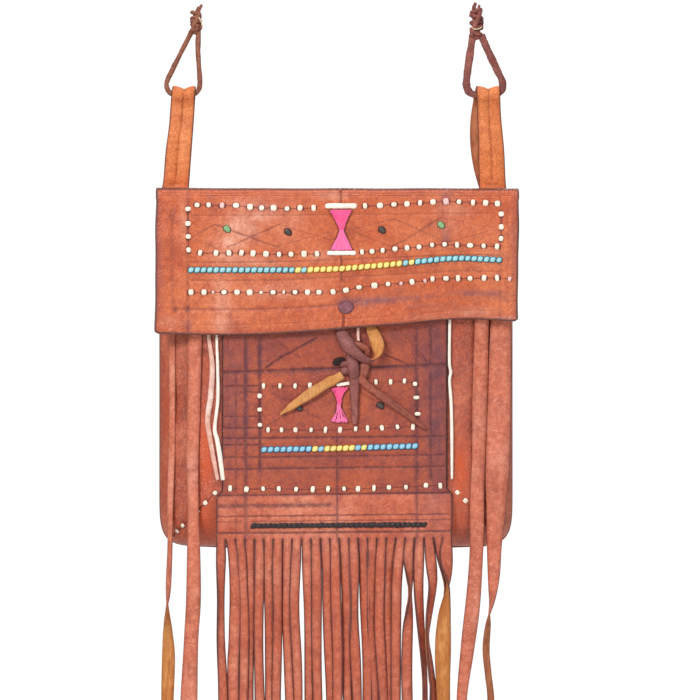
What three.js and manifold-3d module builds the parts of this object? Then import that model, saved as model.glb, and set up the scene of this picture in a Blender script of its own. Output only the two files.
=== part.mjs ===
// Tooled leather shoulder purse: a flap over a puffed pouch, laced patterns, a long cut fringe,
// a knotted closure thong and two strap tabs that hang from lace loops.
// Millimetres, +Z up, the front faces -Y, and the origin lies midway between the two lace knots.
import * as THREE from 'three';
import { mergeVertices } from 'three/addons/utils/BufferGeometryUtils.js';
import Module from 'manifold-3d';

const wasm = await Module();
wasm.setup();

// Driving dimensions: the bag
const clearance = 0.3;
const hangDrop = 128;
const bagWidth = 264;
const bagDrop = 270;
const backSheet = 2.2;
const backFace = 14.5;
const gussetSheet = 2;
const gussetWidth = 43;
const gussetLap = 8;
const cornerSquareness = 6;
const pouchDepth = 26;
const panelWidth = 169;
const panelSheet = 2;
const panelShift = -1.5;
const mouthDrop = 13;
const seamDrop = 224;

// Driving dimensions: the flap and its root strip
const flapWidth = 271.5;
const flapSheet = 2;
const flapGap = 3;
const flapFold = 7;
const flapDropLeft = 109;
const flapDropMiddle = 106;
const flapDropRight = 99;
const rootStripDrop = 42;

// Driving dimensions: the apron and its fringe
const apronWidth = 177;
const apronDrop = 40;
const fringeLength = 186;
const stripCount = 25;
const cutWidth = 0.8;
const stripTaper = 0.88;

// Driving dimensions: tabs and lace loops
const tabWidth = 17;
const tabFlare = 2.5;
const tabSheet = 1.5;
const tabRise = 77.8;
const tabTuck = 36;
const tabTaper = 8;
const eyeHalfDepth = 2.5;
const eyeHalfHeight = 4.4;
const laceDiameter = 3.8;

// Driving dimensions: pattern laces, braids and welts
const laceSheet = 0.8;
const laceWidth = 4;
const flapStitch = 4.2;
const panelStitch = 2.8;
const braidPitch = 4.7;
const braidHeight = 4.6;
const braidSheet = 1.2;
const weltDiameter = 2.6;
const mitreLaceLift = 0.45;
const dotDiameter = 6;
const motifWidth = 15;
const barHeight = 3.4;
const thongSheet = 1.5;

// Planes and heights that follow from them
const bagTop = -hangDrop;
const bagBottom = bagTop - bagDrop;
const backInner = backFace - backSheet;
const tabMiddle = backInner - clearance - tabSheet - clearance / 2;
const rootStripBack = tabMiddle - clearance / 2 - tabSheet - clearance;
const hingeY = rootStripBack - flapSheet / 2;
const hingeZ = bagTop - flapSheet / 2;
const rootStripTop = hingeZ - flapSheet / 2 - clearance;
const gussetBack = backInner - clearance;
const lapFace = gussetBack - pouchDepth;
const panelBack = lapFace - clearance;
const panelFront = panelBack - panelSheet;
const flapBack = panelFront - flapGap;
const flapFront = flapBack - flapSheet;
const mouthZ = bagTop - mouthDrop;
const seamZ = bagTop - seamDrop;
const apronBottom = seamZ - apronDrop;
const cornerReach = gussetWidth + gussetLap + 4;

// Leather and thread colours
const leather = (color, roughness) => new THREE.MeshStandardMaterial({ color, roughness, metalness: 0 });
const flapLeather = leather('#d6693f', 0.5);
const sideLeather = leather('#be5a3c', 0.5);
const fringeLeather = leather('#cd6950', 0.6);
const tabLeather = leather('#f08c50', 0.5);
const brownLeather = leather('#8c5541', 0.7);
const tanLeather = leather('#d79650', 0.8);
const purpleLeather = leather('#965a5a', 0.6);
const whiteLeather = leather('#faf0e1', 0.6);
const blueLeather = leather('#64b9d7', 0.5);
const yellowLeather = leather('#fad75a', 0.5);
const pinkLeather = leather('#fa5096', 0.5);
const greenLeather = leather('#64a064', 0.6);
const blackLeather = leather('#3c373c', 0.6);

const bag = new THREE.Group();

function addPiece(name, geometry, material) {
  const mesh = new THREE.Mesh(geometry, material);
  mesh.name = name;
  bag.add(mesh);
  return mesh;
}

// Solid helpers

function windOutwards(positions, index) {
  let volume = 0;
  const corner = (i) => new THREE.Vector3().fromArray(positions, 3 * i);
  for (let i = 0; i < index.length; i += 3) {
    volume += corner(index[i]).dot(corner(index[i + 1]).cross(corner(index[i + 2])));
  }
  if (volume < 0) {
    index.reverse();
  }
  const geometry = new THREE.BufferGeometry();
  geometry.setAttribute('position', new THREE.Float32BufferAttribute(positions, 3));
  geometry.setIndex(index);
  return geometry;
}

function capFaces(ring) {
  const normal = new THREE.Vector3();
  ring.forEach((point, k) => normal.add(new THREE.Vector3().crossVectors(point, ring[(k + 1) % ring.length])));
  const turn = new THREE.Quaternion().setFromUnitVectors(normal.normalize(), new THREE.Vector3(0, 0, 1));
  const flat = ring.map((point) => {
    const turned = point.clone().applyQuaternion(turn);
    return new THREE.Vector2(turned.x, turned.y);
  });
  return THREE.ShapeUtils.triangulateShape(flat, []).map(([a, b, c]) => {
    const area = (flat[b].x - flat[a].x) * (flat[c].y - flat[a].y)
      - (flat[c].x - flat[a].x) * (flat[b].y - flat[a].y);
    return area > 0 ? [a, b, c] : [a, c, b];
  });
}

// A closed body through a list of rings, each a loop of the same number of points
function loft(rings) {
  const count = rings[0].length;
  const positions = rings.flat().flatMap((point) => point.toArray());
  const index = [];
  for (let r = 0; r < rings.length - 1; r += 1) {
    for (let k = 0; k < count; k += 1) {
      const a = r * count + k;
      const b = r * count + ((k + 1) % count);
      index.push(a, b, b + count, a, b + count, a + count);
    }
  }
  const last = (rings.length - 1) * count;
  capFaces(rings[0]).forEach(([a, b, c]) => index.push(a, c, b));
  capFaces(rings[rings.length - 1]).forEach(([a, b, c]) => index.push(last + a, last + b, last + c));
  return windOutwards(positions, index);
}

// A flat sheet: an outline in X and Z whose rear face lies at the given Y
function sheet(shape, back, thickness) {
  const geometry = new THREE.ExtrudeGeometry(shape, { depth: thickness, bevelEnabled: false, curveSegments: 6 });
  geometry.rotateX(Math.PI / 2);
  geometry.translate(0, back, 0);
  return geometry;
}

// A strip of leather along a path: each stop is [x, y, z, width], its flat side across the path
function strip(stops, thickness, across = null) {
  const points = stops.map(([x, y, z]) => new THREE.Vector3(x, y, z));
  const rings = points.map((point, i) => {
    const ahead = points[Math.min(i + 1, points.length - 1)];
    const behind = points[Math.max(i - 1, 0)];
    const along = ahead.clone().sub(behind).normalize();
    const depth = new THREE.Vector3(0, 1, 0);
    const side = across ? across.clone() : new THREE.Vector3().crossVectors(along, depth).normalize();
    const lift = new THREE.Vector3().crossVectors(side, along).normalize().multiplyScalar(thickness / 2);
    side.multiplyScalar(stops[i][3] / 2);
    return [
      point.clone().add(side).add(lift),
      point.clone().sub(side).add(lift),
      point.clone().sub(side).sub(lift),
      point.clone().add(side).sub(lift),
    ];
  });
  return loft(rings);
}

function roundTube(points, diameter, sides, steps) {
  const section = new THREE.Shape();
  for (let k = 0; k < sides; k += 1) {
    const angle = (2 * Math.PI * k) / sides;
    const place = [(diameter / 2) * Math.cos(angle), (diameter / 2) * Math.sin(angle)];
    if (k === 0) {
      section.moveTo(...place);
    } else {
      section.lineTo(...place);
    }
  }
  section.closePath();
  const path = new THREE.CatmullRomCurve3(points);
  return new THREE.ExtrudeGeometry(section, { steps, extrudePath: path, bevelEnabled: false });
}

function toSolid(source) {
  const geometry = source.clone();
  geometry.deleteAttribute('normal');
  geometry.deleteAttribute('uv');
  const merged = mergeVertices(geometry, 0.0005);
  return new wasm.Manifold(new wasm.Mesh({
    numProp: 3,
    vertProperties: new Float32Array(merged.attributes.position.array),
    triVerts: new Uint32Array(merged.index.array),
  }));
}

function toGeometry(solid) {
  const mesh = solid.getMesh();
  const geometry = new THREE.BufferGeometry();
  geometry.setAttribute('position', new THREE.Float32BufferAttribute(mesh.vertProperties, 3));
  geometry.setIndex(Array.from(mesh.triVerts));
  return geometry;
}

function cut(geometry, tools) {
  return toGeometry(tools.reduce((solid, tool) => solid.subtract(toSolid(tool)), toSolid(geometry)));
}

// A running lace: one thin thong that surfaces through a slit in the leather for each stitch
function laceRow({ from, to, pitch, stitch, front, back, width = laceWidth }) {
  const start = new THREE.Vector3(from[0], 0, from[1]);
  const along = new THREE.Vector3(to[0], 0, to[1]).sub(start);
  const length = along.length();
  along.normalize();
  const depth = new THREE.Vector3(0, 1, 0);
  const across = new THREE.Vector3().crossVectors(along, depth);
  const basis = new THREE.Matrix4().makeBasis(along, depth, across).setPosition(start);
  const count = Math.round(length / pitch) + 1;
  const step = length / (count - 1);
  const outer = front - clearance - laceSheet / 2;
  const inner = back + clearance + laceSheet / 2;
  const tail = stitch / 2 + 1.6;
  const route = [[-tail, inner]];
  const slits = [];
  for (let i = 0; i < count; i += 1) {
    for (const [end, levels] of [[-1, [inner, outer]], [1, [outer, inner]]]) {
      levels.forEach((level) => route.push([i * step + (end * stitch) / 2, level]));
    }
    const room = 2 * clearance;
    const slit = new THREE.BoxGeometry(stitch + laceSheet + room, back - front + 2, width + room);
    slit.translate(i * step, (front + back) / 2, 0);
    slits.push(slit.applyMatrix4(basis));
  }
  route.push([length + tail, inner]);
  const edge = (side) => route.map((point, i) => {
    const turn = [0, 0];
    for (const [a, b] of [[i - 1, i], [i, i + 1]]) {
      if (a >= 0 && b < route.length) {
        const run = Math.hypot(route[b][0] - route[a][0], route[b][1] - route[a][1]);
        turn[0] += (route[a][1] - route[b][1]) / run;
        turn[1] += (route[b][0] - route[a][0]) / run;
      }
    }
    const reach = (side * laceSheet) / 2;
    return new THREE.Vector2(point[0] + turn[0] * reach, point[1] + turn[1] * reach);
  });
  const outline = new THREE.Shape([...edge(1), ...edge(-1).reverse()]);
  const geometry = new THREE.ExtrudeGeometry(outline, { depth: width, bevelEnabled: false });
  geometry.translate(0, 0, -width / 2);
  return { geometry: geometry.applyMatrix4(basis), slits };
}

// A braid run: a chain of lozenges that lies on the leather
function braidRun(from, to, front) {
  const length = Math.hypot(to[0] - from[0], to[1] - from[1]);
  const count = Math.round(length / braidPitch);
  const step = length / count;
  const neck = braidHeight * 0.25;
  const upper = [];
  const lower = [];
  for (let i = 0; i <= count; i += 1) {
    upper.push(new THREE.Vector2(i * step, neck));
    lower.push(new THREE.Vector2(i * step, -neck));
    if (i < count) {
      upper.push(new THREE.Vector2((i + 0.6) * step, braidHeight / 2));
      lower.push(new THREE.Vector2((i + 0.4) * step, -braidHeight / 2));
    }
  }
  const geometry = sheet(new THREE.Shape([...lower, ...upper.reverse()]), front - clearance, braidSheet);
  geometry.rotateY(-Math.atan2(to[1] - from[1], to[0] - from[0]));
  geometry.translate(from[0], 0, from[1]);
  return geometry;
}

// An hourglass of woven thread with stepped sides, between a top and a bottom line
function hourglass(x, top, bottom, front, width = motifWidth) {
  const steps = 4;
  const right = [];
  for (let i = 0; i <= 2 * steps; i += 1) {
    const half = (width / 2) * (0.2 + 0.8 * Math.abs(1 - i / steps));
    const z = top + ((bottom - top) * i) / (2 * steps);
    right.push(new THREE.Vector2(x + half, z));
  }
  const left = right.map((point) => new THREE.Vector2(2 * x - point.x, point.y)).reverse();
  return sheet(new THREE.Shape([...right, ...left]), front - clearance, braidSheet);
}

function bar(x, z, front, width) {
  const geometry = new THREE.BoxGeometry(width, braidSheet, barHeight);
  geometry.translate(x, front - clearance - braidSheet / 2, z);
  return geometry;
}

function dot(x, z, front, diameter = dotDiameter) {
  const geometry = new THREE.CylinderGeometry(diameter / 2, diameter / 2, braidSheet, 12);
  geometry.translate(x, front - clearance - braidSheet / 2, z);
  return geometry;
}

// The pouch outline: a place on it, inset by d, at an angle round a rounded corner
function cornerPlace(side, angle, inset) {
  const power = cornerSquareness;
  const norm = (Math.abs(Math.cos(angle)) ** power + Math.abs(Math.sin(angle)) ** power) ** (1 / power);
  const reach = (cornerReach / norm) * (1 - inset / cornerReach);
  const x = side * (bagWidth / 2 - cornerReach + reach * Math.cos(angle));
  return [x, bagBottom + cornerReach - reach * Math.sin(angle)];
}

const cornerSteps = 6;

function pouchStations() {
  const stations = [(inset) => [-bagWidth / 2 + inset, mouthZ]];
  for (let i = 0; i <= cornerSteps; i += 1) {
    stations.push((inset) => cornerPlace(-1, (i / cornerSteps) * (Math.PI / 2), inset));
  }
  for (let i = cornerSteps; i >= 0; i -= 1) {
    stations.push((inset) => cornerPlace(1, (i / cornerSteps) * (Math.PI / 2), inset));
  }
  stations.push((inset) => [bagWidth / 2 - inset, mouthZ]);
  return stations;
}

// The puffed section of the gusset: inset from the outline, and Y
function gussetFace(share, offset = 0) {
  const angle = (share * Math.PI) / 2;
  const inset = gussetWidth - (gussetWidth - offset) * Math.cos(angle);
  return [inset, gussetBack - (pouchDepth - offset) * Math.sin(angle)];
}

const gussetSteps = 5;

function makeGusset() {
  const outer = [];
  const inner = [];
  for (let i = 0; i <= gussetSteps; i += 1) {
    outer.push(gussetFace(i / gussetSteps));
    inner.push(gussetFace(i / gussetSteps, gussetSheet));
  }
  outer.push([gussetWidth + gussetLap, lapFace]);
  inner.push([gussetWidth + gussetLap, lapFace + gussetSheet]);
  const section = [...outer, ...inner.reverse()];
  return loft(pouchStations().map((station) => section.map(([inset, y]) => {
    const [x, z] = station(inset);
    return new THREE.Vector3(x, y, z);
  })));
}

function makeBackPanel() {
  const low = pouchStations().slice(1, -1).map((station) => new THREE.Vector2(...station(0)));
  const top = bagTop - flapSheet / 2 - clearance;
  const outline = [new THREE.Vector2(-bagWidth / 2, top), ...low, new THREE.Vector2(bagWidth / 2, top)];
  return sheet(new THREE.Shape(outline), backFace, backSheet);
}

function makeRootStrip() {
  const half = bagWidth / 2 - 14;
  const shape = new THREE.Shape();
  shape.moveTo(-half, rootStripTop);
  shape.lineTo(-half, rootStripTop - rootStripDrop);
  shape.lineTo(half, rootStripTop - rootStripDrop);
  shape.lineTo(half, rootStripTop);
  return sheet(shape, rootStripBack, flapSheet);
}

// The flap: one bent sheet, from the rounded nose at the hinge, over the fold and down the front
function flapDropAt(share) {
  const middle = 0.42;
  if (share < middle) {
    return flapDropLeft + (flapDropMiddle - flapDropLeft) * (share / middle) ** 2;
  }
  return flapDropMiddle + (flapDropRight - flapDropMiddle) * Math.sin(((share - middle) / (1 - middle)) * Math.PI / 2);
}

function makeFlap() {
  const half = flapSheet / 2;
  const frontMiddle = (flapFront + flapBack) / 2;
  const nose = [-90, -30, 30, 90].map((degrees) => {
    const angle = (degrees * Math.PI) / 180;
    return [hingeY + half * Math.cos(angle), hingeZ + half * Math.sin(angle)];
  });
  const foldY = frontMiddle + flapFold;
  const foldZ = hingeZ - flapFold;
  const fold = (radius) => [0, 30, 60, 90].map((degrees) => {
    const angle = ((90 + degrees) * Math.PI) / 180;
    return [foldY + radius * Math.cos(angle), foldZ + radius * Math.sin(angle)];
  });
  const shares = [0, 0.14, 0.28, 0.42, 0.55, 0.7, 0.85, 1];
  return loft(shares.map((share) => {
    const low = bagTop - flapDropAt(share);
    const x = flapWidth * (share - 0.5);
    const section = [...nose, ...fold(flapFold + half), [flapFront, low], [flapBack, low]];
    section.push(...fold(flapFold - half).reverse());
    return section.map(([y, z]) => new THREE.Vector3(x, y, z));
  }));
}

// Panel, apron and fringe, cut from one sheet
function makeFringedPanel() {
  const panelLeft = panelShift - panelWidth / 2;
  const panelRight = panelShift + panelWidth / 2;
  const apronLeft = panelShift - apronWidth / 2;
  const pitch = apronWidth / stripCount;
  const stepZ = seamZ - 5;
  const outline = [[panelLeft, mouthZ], [panelLeft, stepZ], [apronLeft, stepZ - 4]];
  for (let i = 0; i < stripCount; i += 1) {
    const left = apronLeft + i * pitch + (i > 0 ? cutWidth / 2 : 0);
    const right = apronLeft + (i + 1) * pitch - (i < stripCount - 1 ? cutWidth / 2 : 0);
    const middle = (left + right) / 2;
    const end = fringeLength * (0.94 + 0.06 * Math.sin(i * 2.4));
    const sway = (down) => 1.1 * Math.sin(i * 1.9 + down * 2.2) * down;
    const place = (down, side) => {
      const half = ((right - left) / 2) * (1 + (stripTaper - 1) * down);
      return [middle + sway(down) + side * half, apronBottom - end * down];
    };
    if (i > 0) {
      outline.push([left, apronBottom]);
    }
    outline.push(place(0.35, -1), place(0.7, -1), place(1, -1), place(1, 1), place(0.7, 1), place(0.35, 1));
    if (i < stripCount - 1) {
      outline.push([right, apronBottom]);
    }
  }
  outline.push([apronLeft + apronWidth, stepZ - 4], [panelRight, stepZ], [panelRight, mouthZ]);
  const geometry = sheet(new THREE.Shape(outline.map((place) => new THREE.Vector2(...place))), panelBack, panelSheet);
  const place = geometry.attributes.position;
  for (let k = 0; k < place.count; k += 1) {
    const down = Math.max(0, apronBottom - place.getZ(k)) / fringeLength;
    const number = Math.floor((place.getX(k) - apronLeft) / pitch);
    place.setY(k, place.getY(k) - 5 * down * Math.sin(number * 2.1) - 2 * Math.sin(Math.PI * down));
  }
  return geometry;
}

// A strap folded over into an eye for its lace, with its two legs flat together below
function makeTab(side, topInset, bottomInset, rearShift) {
  const topX = side * (bagWidth / 2 - topInset);
  const bottomX = side * (bagWidth / 2 - bottomInset);
  const top = bagTop + tabRise;
  const eyeZ = top - tabSheet - eyeHalfHeight;
  const low = bagTop - tabTuck;
  const leg = tabSheet / 2 + clearance / 2;
  const reachY = eyeHalfDepth + tabSheet / 2;
  const reachZ = eyeHalfHeight + tabSheet / 2;
  const levels = [low, mouthZ + 1, bagTop, (bagTop + eyeZ) / 2, eyeZ - 12];
  const route = levels.map((z) => [tabMiddle + leg, z]);
  for (let degrees = -60; degrees <= 240; degrees += 25) {
    const angle = (degrees * Math.PI) / 180;
    route.push([tabMiddle + reachY * Math.cos(angle), eyeZ + reachZ * Math.sin(angle)]);
  }
  levels.reverse().forEach((z) => route.push([tabMiddle - leg, z]));
  return loft(route.map(([y, z], i) => {
    const ahead = route[Math.min(i + 1, route.length - 1)];
    const behind = route[Math.max(i - 1, 0)];
    const run = Math.hypot(ahead[0] - behind[0], ahead[1] - behind[1]);
    const outY = (ahead[1] - behind[1]) / run;
    const outZ = -(ahead[0] - behind[0]) / run;
    const down = THREE.MathUtils.clamp((top - z) / tabRise, 0, 1);
    const tuck = Math.max(0, bagTop - z) / tabTuck;
    const rear = y > tabMiddle ? rearShift * Math.sin(Math.PI * down) : 0;
    const x = topX + (bottomX - topX) * down + rear;
    const half = (tabWidth + tabFlare * down) / 2 - tabTaper * tuck;
    const crease = tabSheet * 0.3;
    const section = [[-half, 1], [-half * 0.15, 1], [0, -crease], [half * 0.15, 1], [half, 1], [half, -1], [-half, -1]];
    return section.map(([across, level]) => {
      const lift = level === -crease ? tabSheet / 2 - crease : (level * tabSheet) / 2;
      return new THREE.Vector3(x + across, y + outY * lift, z + outZ * lift);
    });
  }));
}

// The wrapped knot that closes a lace loop, with two short tails
function makeKnot(x, rise, drop, radius, lean) {
  const profile = [[0, -drop], [radius * 0.9, -drop]];
  const wraps = 3;
  for (let i = 0; i < wraps; i += 1) {
    const low = -drop + ((rise + drop) * (i + 0.1)) / wraps;
    const high = -drop + ((rise + drop) * (i + 0.9)) / wraps;
    profile.push([radius * 1.05, (low + high) / 2], [radius * 0.82, high]);
  }
  profile.push([radius * 0.55, rise], [0, rise]);
  const body = new THREE.LatheGeometry(profile.map((place) => new THREE.Vector2(...place)), 10);
  body.rotateX(Math.PI / 2);
  body.translate(x, tabMiddle, 0);
  const tails = [-1, 1].map((side) => strip([
    [x + side * 1.2, tabMiddle, rise - 2, 2.6],
    [x + side * 1.6 + lean, tabMiddle, rise + 3, 2.2],
    [x + side * 2.2 + lean * 1.6, tabMiddle, rise + 6.5, 1.2],
  ], 1.6));
  return toGeometry(tails.reduce((solid, tail) => solid.add(toSolid(tail)), toSolid(body)));
}

// Body of the bag
const fringedPanel = { geometry: makeFringedPanel(), slits: [] };
const flap = { geometry: makeFlap(), slits: [] };
const gusset = { geometry: makeGusset(), slits: [] };

function addLace(name, carriers, spec) {
  const row = laceRow(spec);
  carriers.forEach((carrier) => carrier.slits.push(...row.slits));
  addPiece(name, row.geometry, whiteLeather);
}

addPiece('back_panel', makeBackPanel(), sideLeather);
addPiece('flap_root_strip', makeRootStrip(), flapLeather);

// Laced pattern of the flap: places are offsets from the flap's middle and top edge
const onFlap = { front: flapFront, back: flapBack, stitch: flapStitch, pitch: 9.8 };
const frameHalf = 112;
const frameTop = bagTop - 13;
const frameBottom = bagTop - 49.5;
const frameSag = 2.6;
const motifX = 4;
const motifGap = 16;
const flapRows = {
  flap_frame_lace_top_left: [[-frameHalf + 7, frameTop], [motifX - motifGap - 4, frameTop - frameSag]],
  flap_frame_lace_top_right: [[motifX + motifGap + 2, frameTop - 1], [frameHalf + 9, frameTop + 1]],
  flap_frame_lace_bottom_left: [[-frameHalf + 9, frameBottom], [motifX - motifGap - 2, frameBottom - 1]],
  flap_frame_lace_bottom_right: [[motifX + motifGap, frameBottom + 1.2], [frameHalf + 8, frameBottom + 6]],
  flap_frame_lace_left: [[-frameHalf + 1, frameTop - 3.5], [-frameHalf + 1, frameBottom + 2.5]],
  flap_frame_lace_right: [[frameHalf + 12.5, frameTop - 7], [frameHalf + 12.5, frameBottom + 12.8]],
  flap_lower_lace_left: [[-frameHalf + 3, bagTop - 78.6], [motifX - 17, bagTop - 78.6]],
  flap_lower_lace_right: [[motifX - 6.5, bagTop - 78.2], [frameHalf + 17, bagTop - 68.5]],
};
for (const [name, [from, to]] of Object.entries(flapRows)) {
  addLace(name, [flap], { ...onFlap, from, to });
}
addPiece('flap', cut(flap.geometry, flap.slits), flapLeather);

addPiece('flap_hourglass', hourglass(motifX, frameTop - 3.6, frameBottom + 3, flapFront), pinkLeather);
addPiece('flap_bar_top', bar(motifX, frameTop - 1.2, flapFront, 21), whiteLeather);
addPiece('flap_bar_bottom', bar(motifX, frameBottom + 0.4, flapFront, 19), whiteLeather);
addPiece('flap_dot_green_left', dot(-82, bagTop - 31, flapFront), greenLeather);
addPiece('flap_dot_black_left', dot(-36.5, bagTop - 33.4, flapFront), blackLeather);
addPiece('flap_dot_black_right', dot(34, bagTop - 32, flapFront), blackLeather);
addPiece('flap_dot_green_right', dot(78.5, bagTop - 28, flapFront), greenLeather);
addPiece('flap_braid_blue_left', braidRun([-111.5, bagTop - 62], [-32, bagTop - 62], flapFront), blueLeather);
addPiece('flap_braid_yellow', braidRun([-31, bagTop - 62], [57, bagTop - 57], flapFront), yellowLeather);
addPiece('flap_braid_blue_right', braidRun([58, bagTop - 57], [123, bagTop - 54], flapFront), blueLeather);
addPiece('closure_patch', dot(7, bagTop - 90.5, flapFront, 9.5), purpleLeather);

// Laced pattern of the panel, its seam and the braids
const onPanel = { front: panelFront, back: panelBack, stitch: panelStitch, pitch: 11 };
const boxTop = bagTop - 149;
const boxBottom = bagTop - 182;
const panelRows = {
  panel_lace_top_left: [[-54.5, boxTop], [-20, boxTop]],
  panel_lace_top_right: [[29.5, boxTop + 3], [59.5, boxTop + 2]],
  panel_lace_bottom: [[-51, boxBottom], [57.5, boxBottom + 2]],
  panel_lace_left: [[-58, boxTop - 8], [-58, boxBottom + 3.5]],
  panel_lace_right: [[61, boxTop - 8.5], [61, boxTop - 21]],
};
for (const [name, [from, to]] of Object.entries(panelRows)) {
  addLace(name, [fringedPanel], { ...onPanel, from, to, width: laceWidth * 0.9 });
}
const seamHalf = panelWidth / 2 - 5.5;
const seamEnds = { from: [panelShift - seamHalf, seamZ], to: [panelShift + seamHalf, seamZ + 1.5] };
const seam = { ...seamEnds, pitch: 11.8, stitch: panelStitch };
addLace('seam_lace', [fringedPanel, gusset], { ...seam, front: panelFront, back: lapFace + gussetSheet });
addPiece('gusset', cut(gusset.geometry, gusset.slits), sideLeather);
addPiece('fringed_panel', cut(fringedPanel.geometry, fringedPanel.slits), fringeLeather);
addPiece('panel_hourglass', hourglass(1.8, boxTop - 1.5, boxBottom + 4, panelFront, 12), pinkLeather);
addPiece('panel_bar', bar(4, boxTop + 1.8, panelFront, 10), whiteLeather);
addPiece('panel_dot_left', dot(-28, boxTop - 16.5, panelFront), blackLeather);
addPiece('panel_dot_right', dot(33, boxTop - 14.8, panelFront), blackLeather);
const panelBraidZ = boxBottom - 14.5;
addPiece('panel_braid_blue_left', braidRun([-56, panelBraidZ], [-17, panelBraidZ], panelFront), blueLeather);
addPiece('panel_braid_yellow', braidRun([-16, panelBraidZ], [18, panelBraidZ + 0.6], panelFront), yellowLeather);
addPiece('panel_braid_blue_right', braidRun([19, panelBraidZ + 0.6], [60, panelBraidZ + 2], panelFront), blueLeather);
addPiece('apron_braid', braidRun([-63.5, seamZ - 27.5], [66.5, seamZ - 27.5], panelFront), blackLeather);

// Welts along the panel's sides, laid in the corner between the panel's edge and the gusset
function welt(side, sway) {
  const x = panelShift + side * (panelWidth / 2 + clearance + weltDiameter / 2 + 0.5);
  const y = lapFace - clearance - weltDiameter / 2;
  const points = [0, 0.2, 0.4, 0.55, 0.7, 0.85, 1].map((share, i) => {
    const z = mouthZ - 1 + (seamZ + 4 - mouthZ) * share;
    return new THREE.Vector3(x + side * sway[i], y, z);
  });
  return roundTube(points, weltDiameter, 6, 14);
}
addPiece('left_welt', welt(-1, [0.6, 0.8, 0.2, 0.4, 2, 1.4, 0]), whiteLeather);
addPiece('right_welt', welt(1, [0, 0.1, 0.6, 0, 0.8, 1.4, 1.2]), whiteLeather);

// Laces along the mitred corners of the gusset
function mitreLace(side) {
  const middle = Math.PI / 4;
  const across = new THREE.Vector3(side, 0, 1).normalize();
  const stops = [0.14, 0.28, 0.42, 0.56, 0.7, 0.84].map((share) => {
    const [inset, y] = gussetFace(share);
    const [x, z] = cornerPlace(side, middle, inset);
    const [near] = cornerPlace(side, middle, inset + 1);
    const slope = share * Math.PI / 2;
    const lift = clearance + laceSheet / 2 + mitreLaceLift;
    const outX = Math.sign(x - near) * Math.cos(slope) * lift * Math.SQRT1_2;
    return [x + outX, y - Math.sin(slope) * lift, z - Math.abs(outX), laceWidth * 0.8];
  });
  return strip(stops, laceSheet, across);
}
addPiece('left_mitre_lace', mitreLace(-1), whiteLeather);
addPiece('right_mitre_lace', mitreLace(1), whiteLeather);

// Tabs, lace loops and knots
const lacePoints = {
  left: [
    [-109.1, -8], [-111.6, -13], [-116.2, -22], [-120.7, -31], [-124.9, -39.5], [-127.9, -45.9],
    [-128.6, -49.6], [-127.3, -53.7], [-124.5, -56.2], [-121, -57], [-116, -57.1], [-111, -57],
    [-107.2, -56], [-104.4, -53.2], [-103.4, -49.2], [-103.5, -43], [-104.1, -35], [-104.7, -26],
    [-104.7, -17], [-104.4, -8],
  ],
  right: [
    [103, -11.3], [101.7, -20], [100.4, -29], [99.1, -38], [98.3, -45], [98.2, -49.6],
    [99.5, -53.7], [102.2, -56.1], [105.8, -57], [111, -57.1], [117.5, -57], [121.3, -56],
    [124.6, -53.2], [125.6, -49.6], [124.7, -45.2], [122.2, -40], [119.2, -33.5], [115.8, -26.5],
    [112.4, -19], [109.4, -11.7],
  ],
};
for (const [side, route] of Object.entries(lacePoints)) {
  const points = route.map(([x, z]) => new THREE.Vector3(x, tabMiddle, z));
  addPiece(`${side}_lace_loop`, roundTube(points, laceDiameter, 8, 32), brownLeather);
}
addPiece('left_tab', makeTab(-1, 16.9, 10, 0), tabLeather);
addPiece('right_tab', makeTab(1, 17.6, 13.9, -6), tabLeather);
addPiece('left_lace_knot', makeKnot(-106, 6.6, 6.8, 4.2, 1), brownLeather);
addPiece('right_lace_knot', makeKnot(105.4, 9, 10.6, 5, -1.5), brownLeather);

// Long side strips: each stop is [inset from the bag's edge, drop below its top, width]
function sideStrip(side, stops) {
  const onGusset = stops.filter(([, drop]) => drop < bagDrop).map(([inset, , width]) => inset + width / 2);
  const faceAt = (inset) => gussetBack - pouchDepth * Math.sqrt(1 - (1 - Math.min(inset / gussetWidth, 1)) ** 2);
  const seat = faceAt(onGusset[0]) - clearance - thongSheet / 2;
  const overLace = 2 * clearance + laceSheet + mitreLaceLift;
  const hang = faceAt(Math.max(...onGusset)) - overLace - thongSheet / 2;
  return strip(stops.map(([inset, drop, width], i) => {
    return [side * (bagWidth / 2 - inset), i === 0 ? seat : hang, bagTop - drop, width];
  }), thongSheet);
}
addPiece('left_inner_strip', sideStrip(-1, [
  [25.5, 84, 10], [25.5, 115, 10.5], [24, 160, 9.5], [23, 200, 7.5], [23.7, 240, 8.5], [24.4, 269, 9.5],
  [24.2, 310, 10], [22.5, 345, 11], [21, 385, 12], [20, 420, 11], [19.5, 452, 7],
]), fringeLeather);
addPiece('left_outer_strip', sideStrip(-1, [
  [8.5, 84, 5], [8.2, 150, 5], [8, 197, 5], [7, 235, 4], [6.5, 268, 3.6], [4.5, 310, 5], [5, 350, 9],
  [4.5, 385, 9.5], [4, 440, 8],
]), fringeLeather);
addPiece('right_inner_strip', sideStrip(1, [
  [23, 84, 11], [23.2, 107, 11.4], [24.8, 174, 11.2], [26.2, 240, 10.6], [26.4, 268, 10.6],
  [29.4, 310, 11.4], [33.5, 347, 9.6], [38, 385, 8], [39.5, 430, 7],
]), fringeLeather);
addPiece('right_outer_strip', sideStrip(1, [
  [9.5, 84, 13], [10, 114, 13.4], [11, 170, 14], [11.6, 212, 15], [12.4, 242, 14], [13.4, 268, 11],
  [13.8, 302, 7], [16.2, 318, 3], [18.4, 330, 4.6], [19.8, 347, 4.8], [16.2, 385, 6.4], [15, 425, 6],
]), fringeLeather);

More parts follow.
